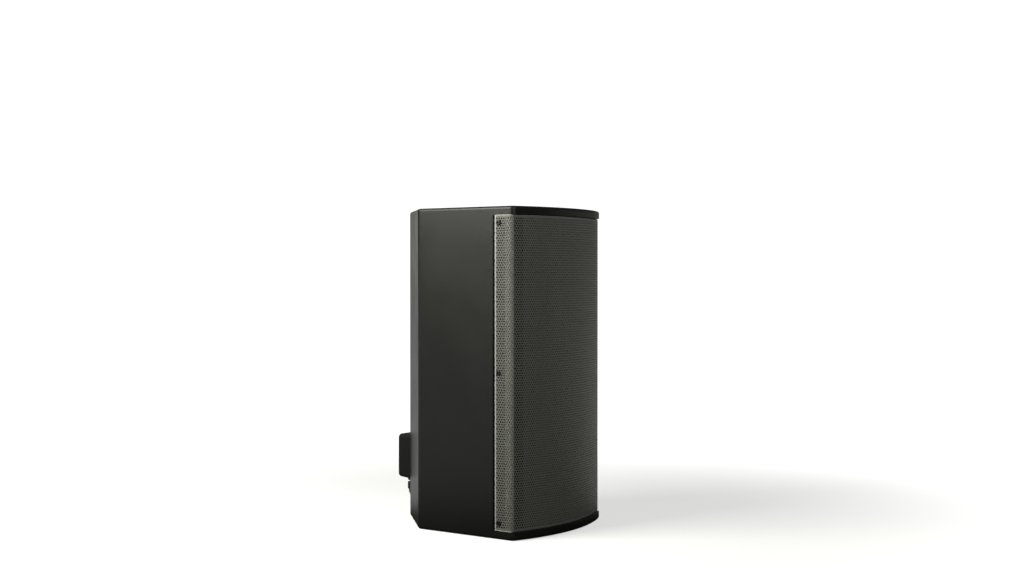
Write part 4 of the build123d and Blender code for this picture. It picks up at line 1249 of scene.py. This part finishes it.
@dataclass
class Suspensions:
    """Surround and spider of each woofer, and the compression driver's ring, in their rest shape."""

    ledge: float = 0.0025
    roll_radius: float = 0.0835
    roll_inner: float = 0.0037
    roll_outer: float = 0.0045
    roll_steps: int = 12
    rim: tuple[float, float] = (0.0765, 0.0923)
    spider_seat: float = -0.042
    spider_span: tuple[float, float] = (0.029, 0.056)
    spider_rim: tuple[float, float] = (0.0256, 0.0625)
    spider_bends: int = 8
    spider_wave: float = 0.0024
    spider_skin: float = 0.0007
    dome_radius: float = 0.0230
    dome_clamp: float = 0.027
    dome_free: float = 0.026
    dome_outer: float = 0.0385
    dome_seat: float = -0.120
    dome_skin: float = 0.0006
    dome_drop: float = 0.0012
    clamp_thick: float = 0.002
    steps: int = 96

    def surround_profile(self) -> list[tuple[float, float]]:
        """Half roll with a flat rim on each side."""
        skin = self.roll_outer - self.roll_inner
        lean = math.asin(skin / self.roll_outer)
        under = [(self.rim[0], self.ledge)]
        over = [(self.rim[0], self.ledge + skin)]
        for i in range(self.roll_steps + 1):
            turn = math.pi * (1 - i / self.roll_steps)
            under.append(self.on_roll(self.roll_inner, turn))
            turn = (math.pi - lean) + (2 * lean - math.pi) * i / self.roll_steps
            over.append(self.on_roll(self.roll_outer, turn))
        under.append((self.rim[1], self.ledge))
        over.append((self.rim[1], self.ledge + skin))
        return under + over[::-1]

    def on_roll(self, reach: float, turn: float) -> tuple[float, float]:
        """A point of the roll at a distance from its middle."""
        return self.roll_radius + reach * math.cos(turn), self.ledge + reach * math.sin(turn)

    def spider_profile(self) -> list[tuple[float, float]]:
        """Smooth corrugations between a flat neck and a flat rim."""
        low, high = self.spider_span
        steps = self.spider_bends * 6
        under = [(self.spider_rim[0], self.spider_seat)]
        for i in range(steps + 1):
            lift = self.spider_wave * 0.5 * (1 - math.cos(math.pi * self.spider_bends * i / steps))
            under.append((low + (high - low) * i / steps, self.spider_seat + lift))
        under.append((self.spider_rim[1], self.spider_seat))
        return under + [(r, z + self.spider_skin) for r, z in reversed(under)]

    def dome_profile(self) -> list[tuple[float, float]]:
        """Thin flexing ring outside the dome, clamped under a thicker one."""
        seat = self.dome_seat
        inner = seat - self.dome_drop
        return [
            (self.dome_radius, inner),
            (self.dome_free, seat),
            (self.dome_outer, seat),
            (self.dome_outer, seat - self.clamp_thick),
            (self.dome_clamp, seat - self.clamp_thick),
            (self.dome_clamp, seat - self.dome_skin),
            (self.dome_free, seat - self.dome_skin),
            (self.dome_radius, inner - self.dome_skin),
        ]

    def flex(self, piece: bpy.types.Object, height: float, inner: float, outer: float) -> None:
        """Bakes a ring's transform into its mesh; the ring is not bent.

        Args:
            piece: The ring.
            height: Height of the driver's axis; not used.
            inner: Radius up to which it would move with the body; not used.
            outer: Radius from which it would stay still; not used.
        """
        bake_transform(piece)

    def build(self, shop: FinishShop) -> None:
        """Makes the five rings."""
        cloth = shop.made["cloth_suspension"]
        roll = self.roll_radius - self.roll_outer, self.roll_radius + self.roll_outer
        for name, height in PLAN.woofers.items():
            rings = {
                "surround": (self.surround_profile(), *roll),
                "spider": (self.spider_profile(), *self.spider_span),
            }
            for kind, (profile, inner, outer) in rings.items():
                mesh = turned_mesh(f"{name}_{kind}_cloth", profile, height, self.steps)
                piece = make_piece(f"{name}_{kind}_cloth", mesh, cloth)
                settle(piece, (f"{name}_{kind}",), None)
                self.flex(piece, height, inner, outer)
        middle = PLAN.height / 2
        mesh = turned_mesh("hf_suspension_cloth", self.dome_profile(), middle, self.steps)
        piece = make_piece("hf_suspension_cloth", mesh, cloth)
        settle(piece, ("hf_suspension",), None)
        self.flex(piece, middle, self.dome_radius, self.dome_free)


# ---------------------------------------------------------------- wadding


@dataclass
class Wadding:
    """Four fibre pads, puffed by cloth simulation and laid against the side walls."""

    thick: float = 0.0170
    deep: float = 0.134
    tall: float = 0.139
    space: Point = (0.018, 0.140, 0.145)
    gap: float = 0.0003
    y: float = -0.012
    shift: float = 0.017
    voxel: float = 0.006
    cap: float = 0.0028
    frames: int = 20
    starting_share: float = 0.78
    rounding: float = 0.004
    pressure: float = 4.0
    lump: float = 0.0006
    clear: float = 0.0002
    fill: float = 0.5

    def puffed(self) -> bpy.types.Mesh:
        """One pad at the origin: remeshed, swollen by pressure, with its movement capped."""
        shape = bmesh.new()
        bmesh.ops.create_cube(shape, size=1.0)
        size = (self.thick * self.starting_share, self.deep, self.tall)
        bmesh.ops.scale(shape, vec=size, verts=shape.verts)
        bmesh.ops.bevel(shape, geom=shape.edges, offset=self.rounding, segments=2, affect="EDGES")
        mesh = bpy.data.meshes.new("pad")
        shape.to_mesh(mesh)
        shape.free()
        pad = put_in_scene("pad", mesh)
        remesh = pad.modifiers.new("remesh", "REMESH")
        remesh.mode = "VOXEL"
        remesh.voxel_size = self.voxel
        pad.data = frozen(pad)
        pad.modifiers.clear()
        rest = np.array([v.co for v in pad.data.vertices])
        cloth = pad.modifiers.new("cloth", "CLOTH")
        cloth.settings.use_pressure = True
        cloth.settings.uniform_pressure_force = self.pressure
        cloth.settings.effector_weights.gravity = 0.0
        for step in range(1, self.frames + 1):
            bpy.context.scene.frame_set(step)
        pad.data = frozen(pad)
        pad.modifiers.clear()
        bpy.context.scene.frame_set(1)
        self.tame(pad.data, rest)
        smooth = pad.modifiers.new("smooth", "SUBSURF")
        smooth.levels = smooth.render_levels = 1
        mesh = frozen(pad)
        bpy.data.objects.remove(pad)
        return mesh

    def tame(self, mesh: bpy.types.Mesh, rest: np.ndarray) -> None:
        """Caps how far each point has moved, lumps the surface, and keeps it in the pad's space.

        Args:
            mesh: The pad's mesh, changed in place.
            rest: Places of its points before they moved.
        """
        moved = np.array([v.co for v in mesh.vertices]) - rest
        far = np.linalg.norm(moved, axis=1, keepdims=True)
        places = rest + moved * np.minimum(1.0, self.cap / np.maximum(far, 1e-9))
        y, z = places[:, 1], places[:, 2]
        lump = np.sin(y * 92) * np.sin(z * 77 + 0.8) + 0.5 * np.sin(z * 171)
        places[:, 0] += self.lump * lump * np.sign(places[:, 0])
        limit = np.array(self.space) / 2 - self.clear
        places = np.clip(places, -limit, limit)
        mesh.vertices.foreach_set("co", places.astype(np.float32).ravel())
        mesh.update()

    def build(self, shop: FinishShop) -> None:
        """Lays a pad beside each woofer, on both sides."""
        pad = self.puffed()
        inner = PLAN.half_width - PLAN.ply
        for name, height in PLAN.woofers.items():
            toward_middle = self.shift if name == "lower" else -self.shift
            for side, sign in (("left", -1), ("right", 1)):
                mesh = pad.copy()
                x = sign * (inner - self.gap - self.space[0] / 2)
                for vertex in mesh.vertices:
                    vertex.co += Vector((x, self.y, height + toward_middle))
                mesh.shade_smooth()
                piece = make_piece(f"{name}_{side}_wadding", mesh, shop.made["wadding"])
                settle(piece, ("wadding_pads",))


# ---------------------------------------------------------------- crossover coils and gland ribs


@dataclass
class Inductors:
    """Air-core coils, wound turn by turn."""

    spread: float = 0.028
    y: float = 0.065
    base: float = 0.0286
    tall: float = 0.018
    wire: float = 0.0018
    inner: float = 0.0110
    outer: float = 0.0200
    steps: int = 40
    section_steps: int = 6

    def tree(self) -> bpy.types.NodeTree:
        """Sweeps a wire round a circle at every point, as wide as that point's radius says."""
        inputs = {"Wire": "Float", "Steps": "Int", "Material": "Material"}
        canvas, source, out = node_tree("wire_turns", inputs)
        steps = source.outputs["Steps"]
        circle = canvas.add("GeometryNodeCurvePrimitiveCircle", Resolution=steps, Radius=1.0)
        wide = canvas.add("GeometryNodeInputNamedAttribute", {"data_type": "FLOAT"}, Name="turn_radius")
        put = canvas.add("GeometryNodeInstanceOnPoints", Points=source.outputs["Geometry"])
        canvas.feed(circle.outputs["Curve"], put.inputs["Instance"])
        canvas.feed(wide.outputs[0], put.inputs["Scale"])
        real = canvas.add("GeometryNodeRealizeInstances", Geometry=put.outputs[0])
        section = canvas.add("GeometryNodeCurvePrimitiveCircle", Resolution=self.section_steps)
        canvas.feed(canvas.math("MULTIPLY", source.outputs["Wire"], 0.5), section.inputs["Radius"])
        tube = canvas.add("GeometryNodeCurveToMesh", Curve=real.outputs[0])
        canvas.feed(section.outputs["Curve"], tube.inputs["Profile Curve"])
        end_tree(canvas, tube.outputs[0], source, out)
        return canvas.tree

    def build(self, shop: FinishShop) -> None:
        """Winds both coils, layer on layer."""
        places, radii = [], []
        layers = int((self.outer - self.inner) / self.wire) + 1
        turns = int(self.tall / self.wire)
        for x in (-self.spread, self.spread):
            for layer in range(layers):
                for turn in range(turns):
                    places.append((x, self.y, self.base + (turn + 0.5) * self.wire))
                    radii.append(self.inner + layer * self.wire)
        base = mesh_from("turn_places", places, [])
        base.attributes.new("turn_radius", "FLOAT", "POINT").data.foreach_set("value", radii)
        copper = shop.made["copper_wire"]
        values = {"Wire": self.wire, "Steps": self.steps, "Material": copper}
        mesh = grow("wound_coils", base, self.tree(), values)
        mesh.shade_smooth()
        settle(make_piece("wound_coils", mesh, copper), ("inductors",))


@dataclass
class GlandRibs:
    """Grip ribs round the dome of the cable gland's nut."""

    setback: float = 0.020
    count: int = 18
    low: float = 0.0395
    high: float = 0.0465
    low_radius: float = 0.0112
    high_radius: float = 0.0121
    wide: float = 0.0012
    proud: float = 0.0005
    sunk: float = 0.0004
    crest_share: float = 0.55

    def tree(self) -> bpy.types.NodeTree:
        """Copies the rib evenly round an upright axis."""
        inputs = {"Count": "Int", "Centre": "Vector", "Material": "Material"}
        canvas, source, out = node_tree("ribs_round_axis", inputs)
        count = source.outputs["Count"]
        points = canvas.add("GeometryNodePoints", Count=count, Position=source.outputs["Centre"])
        put = canvas.add("GeometryNodeInstanceOnPoints", Points=points.outputs[0])
        canvas.feed(source.outputs["Geometry"], put.inputs["Instance"])
        index = canvas.add("GeometryNodeInputIndex").outputs[0]
        share = canvas.math("DIVIDE", index, count)
        turn = canvas.add("ShaderNodeCombineXYZ", Z=canvas.math("MULTIPLY", share, 2 * math.pi))
        canvas.feed(turn.outputs[0], put.inputs["Rotation"])
        end_tree(canvas, put.outputs[0], source, out)
        return canvas.tree

    def build(self, shop: FinishShop) -> None:
        """Makes one rib beside the axis and copies it round the nut."""
        points = []
        for z, r in ((self.low, self.low_radius), (self.high, self.high_radius)):
            for reach, wide in ((r - self.sunk, self.wide), (r + self.proud, self.wide * self.crest_share)):
                points += [(reach, -wide / 2, z), (reach, wide / 2, z)]
        faces = [(0, 1, 3, 2), (4, 6, 7, 5), (0, 4, 5, 1), (2, 3, 7, 6), (0, 2, 6, 4), (1, 5, 7, 3)]
        rib = mesh_from("rib", points, faces)
        outwards(rib)
        plastic = shop.made["cover_plastic"]
        centre = (0.0, PLAN.rear + self.setback, 0.0)
        values = {"Count": self.count, "Centre": centre, "Material": plastic}
        mesh = grow("gland_ribs", rib, self.tree(), values)
        settle(make_piece("gland_ribs", mesh, plastic), ())


# ---------------------------------------------------------------- studio


@dataclass
class Studio:
    """White floor and room, two soft lamps on the left, and a nearly level camera.

    The room looks white to the eye, and so does the floor but for a painted shade round the cabinet, where
    its glow is weaker, which darkens the cast shadow and fades it outwards. As lights, the room is dim but
    for its far end, and the floor but for the part beyond the cabinet and a lit part on the left.
    """

    camera_at: Point = (-2.1670, -1.5643, 0.4710)
    heading: float = 54.874
    pitch: float = 0.595
    lens: float = 49.577
    sensor: float = 36.0
    sight: float = 200.0
    room_white: float = 1.1
    room_tint: Colour = (0.98, 1.0, 0.95)
    ambient: float = 0.08
    backdrop: float = 0.95
    backdrop_edge: tuple[float, float] = (0.88, 0.97)
    backdrop_top: tuple[float, float] = (0.10, 0.30)
    floor_backdrop: tuple[float, float] = (0.05, 0.30)
    floor_share: float = 0.52
    floor_reach: float = 60.0
    floor_level: float = -0.0003
    floor_white: float = 0.9
    floor_dull: float = 0.08
    key_power: float = 17.0
    key_size: float = 0.8
    key_at: Point = (-1.05, 0.49, 1.10)
    key_aim: Point = (-0.10, 0.0, 0.50)
    lamp_colour: Colour = (1.0, 1.0, 0.90)
    # Glow of the floor to the eye, near the cabinet and far off; the low near value is painted shade.
    floor_glow: tuple[float, float] = (0.57, 1.02)
    bounce: float = 0.40
    bounce_reach: tuple[float, float] = (0.20, 0.80)
    bounce_side: Point = (-0.87, 0.50, 0.0)
    # Distances from the cabinet over which the floor's painted shade fades out.
    floor_shade_reach: tuple[float, float] = (0.45, 1.45)
    fill_power: float = 9.0
    fill_size: float = 0.5
    fill_at: Point = (-1.15, -1.80, 1.35)
    fill_aim: Point = (0.0, -0.15, 0.35)

    def build(self) -> None:
        """Makes the camera, the world, the floor and the lights."""
        self.camera()
        self.world()
        self.floor()
        self.area("key_light", self.key_at, self.key_aim, self.key_size, self.key_power)
        self.area("fill_light", self.fill_at, self.fill_aim, self.fill_size, self.fill_power)

    def camera(self) -> None:
        """Level camera in front of the left front corner."""
        data = bpy.data.cameras.new("camera")
        data.lens = self.lens
        data.sensor_width = self.sensor
        data.clip_end = self.sight
        eye = put_in_scene("camera", data)
        eye.location = self.camera_at
        eye.rotation_euler = (math.radians(90 - self.pitch), 0.0, -math.radians(self.heading))
        bpy.context.scene.camera = eye

    def beyond(self, canvas: NodeCanvas, place: Socket) -> Socket:
        """How far a place or a direction lies towards the cabinet's far side."""
        turn = math.radians(self.heading)
        far_side = (math.sin(turn), math.cos(turn), 0.0)
        return canvas.vector("DOT_PRODUCT", place, far_side).outputs["Value"]

    def world(self) -> None:
        """Room that is white to the eye, and as a light bright at its far end."""
        world = bpy.data.worlds.new("studio")
        bpy.context.scene.world = world
        world.use_nodes = True
        world.node_tree.nodes.clear()
        canvas = NodeCanvas(world.node_tree)
        way = canvas.add("ShaderNodeTexCoord").outputs["Generated"]
        share = canvas.ramp(self.beyond(canvas, way), *self.backdrop_edge)
        above = canvas.ramp(canvas.add("ShaderNodeSeparateXYZ", Vector=way).outputs["Z"], *self.backdrop_top)
        share = canvas.math("MULTIPLY", share, canvas.math("SUBTRACT", 1.0, above))
        rise = canvas.math("MULTIPLY", share, self.backdrop - self.ambient)
        seen = canvas.add("ShaderNodeBackground", Color=WHITE, Strength=self.room_white)
        felt = canvas.add("ShaderNodeBackground", Color=(*self.room_tint, 1))
        canvas.feed(canvas.math("ADD", rise, self.ambient), felt.inputs["Strength"])
        self.camera_mix(canvas, felt, seen, "ShaderNodeOutputWorld")

    def camera_mix(
        self, canvas: NodeCanvas, other: bpy.types.Node, seen: bpy.types.Node, kind: str
    ) -> None:
        """Shows one shader to the eye and another to everything else.

        Args:
            canvas: The tree's canvas.
            other: Shader for all other rays.
            seen: Shader for the eye.
            kind: The output node's bl_idname.
        """
        path = canvas.add("ShaderNodeLightPath")
        mix = canvas.add("ShaderNodeMixShader", Fac=path.outputs["Is Camera Ray"])
        canvas.feed(other.outputs[0], mix.inputs[1])
        canvas.feed(seen.outputs[0], mix.inputs[2])
        out = canvas.add(kind)
        canvas.feed(mix.outputs[0], out.inputs["Surface"])

    def floor(self) -> None:
        """White floor that keeps a soft shadow and throws little light back. Its glow is weaker near the
        cabinet: painted shade that darkens the cast shadow and fades it outwards.
        """
        signs = ((-1, -1), (1, -1), (1, 1), (-1, 1))
        corners = [(x * self.floor_reach, y * self.floor_reach, self.floor_level) for x, y in signs]
        mesh = mesh_from("floor", corners, [(0, 1, 2, 3)])
        material = bpy.data.materials.new("studio_floor")
        material.use_nodes = True
        material.node_tree.nodes.clear()
        canvas = NodeCanvas(material.node_tree)
        at = canvas.add("ShaderNodeTexCoord").outputs["Object"]
        # Painted shade: the glow is low near the cabinet and rises further out, darkening the cast shadow and
        # fading it.
        low, high = self.floor_glow
        away = canvas.vector("LENGTH", at).outputs["Value"]
        rise = canvas.math("MULTIPLY", canvas.ramp(away, *self.floor_shade_reach), high - low)
        both = self.glowing(canvas, canvas.math("ADD", rise, low), self.floor_white)
        share = canvas.ramp(self.beyond(canvas, at), *self.floor_backdrop)
        far = canvas.math("MULTIPLY", share, self.backdrop * self.floor_share)
        beside = canvas.vector("DOT_PRODUCT", at, self.bounce_side).outputs["Value"]
        lit = canvas.math("MULTIPLY", canvas.ramp(beside, *self.bounce_reach), self.bounce)
        felt = self.glowing(canvas, canvas.math("MAXIMUM", far, lit), self.floor_dull)
        self.camera_mix(canvas, felt, both, "ShaderNodeOutputMaterial")
        make_piece("floor", mesh, material)

    def glowing(self, canvas: NodeCanvas, strength: Socket, grey: float) -> bpy.types.Node:
        """A matt grey shader that also glows white.

        Args:
            canvas: The material's canvas.
            strength: Strength of the glow.
            grey: Albedo of the matt part.

        Returns:
            The node that adds the two.
        """
        glow = canvas.add("ShaderNodeEmission", Color=WHITE, Strength=strength)
        matt = canvas.add("ShaderNodeBsdfDiffuse", Color=(grey, grey, grey, 1))
        both = canvas.add("ShaderNodeAddShader")
        canvas.feed(glow.outputs[0], both.inputs[0])
        canvas.feed(matt.outputs[0], both.inputs[1])
        return both

    def area(self, name: str, place: Point, aim: Point, size: float, power: float) -> None:
        """A square soft lamp that the camera doesn't see.

        Args:
            name: Its name.
            place: Where it stands.
            aim: The point that it faces.
            size: Length of its side.
            power: Its power in watts.
        """
        data = bpy.data.lights.new(name, "AREA")
        data.size = size
        data.energy = power
        data.color = self.lamp_colour
        lamp = put_in_scene(name, data)
        lamp.location = place
        lamp.rotation_euler = (Vector(aim) - Vector(place)).to_track_quat("-Z", "Y").to_euler()
        lamp.visible_camera = False


# ---------------------------------------------------------------- build


def main() -> None:
    """Builds the camera and studio, then every piece."""
    logging.basicConfig(level=logging.INFO)
    bpy.context.scene.view_settings.view_transform = "Standard"
    Studio().build()
    shop = FinishShop()
    shop.dress_frame()
    for assembly in (Grille(), FastenerSets(), Suspensions(), Wadding(), Inductors(), GlandRibs()):
        log.info("building %s", type(assembly).__name__)
        assembly.build(shop)


if __name__ == "__main__":
    main()
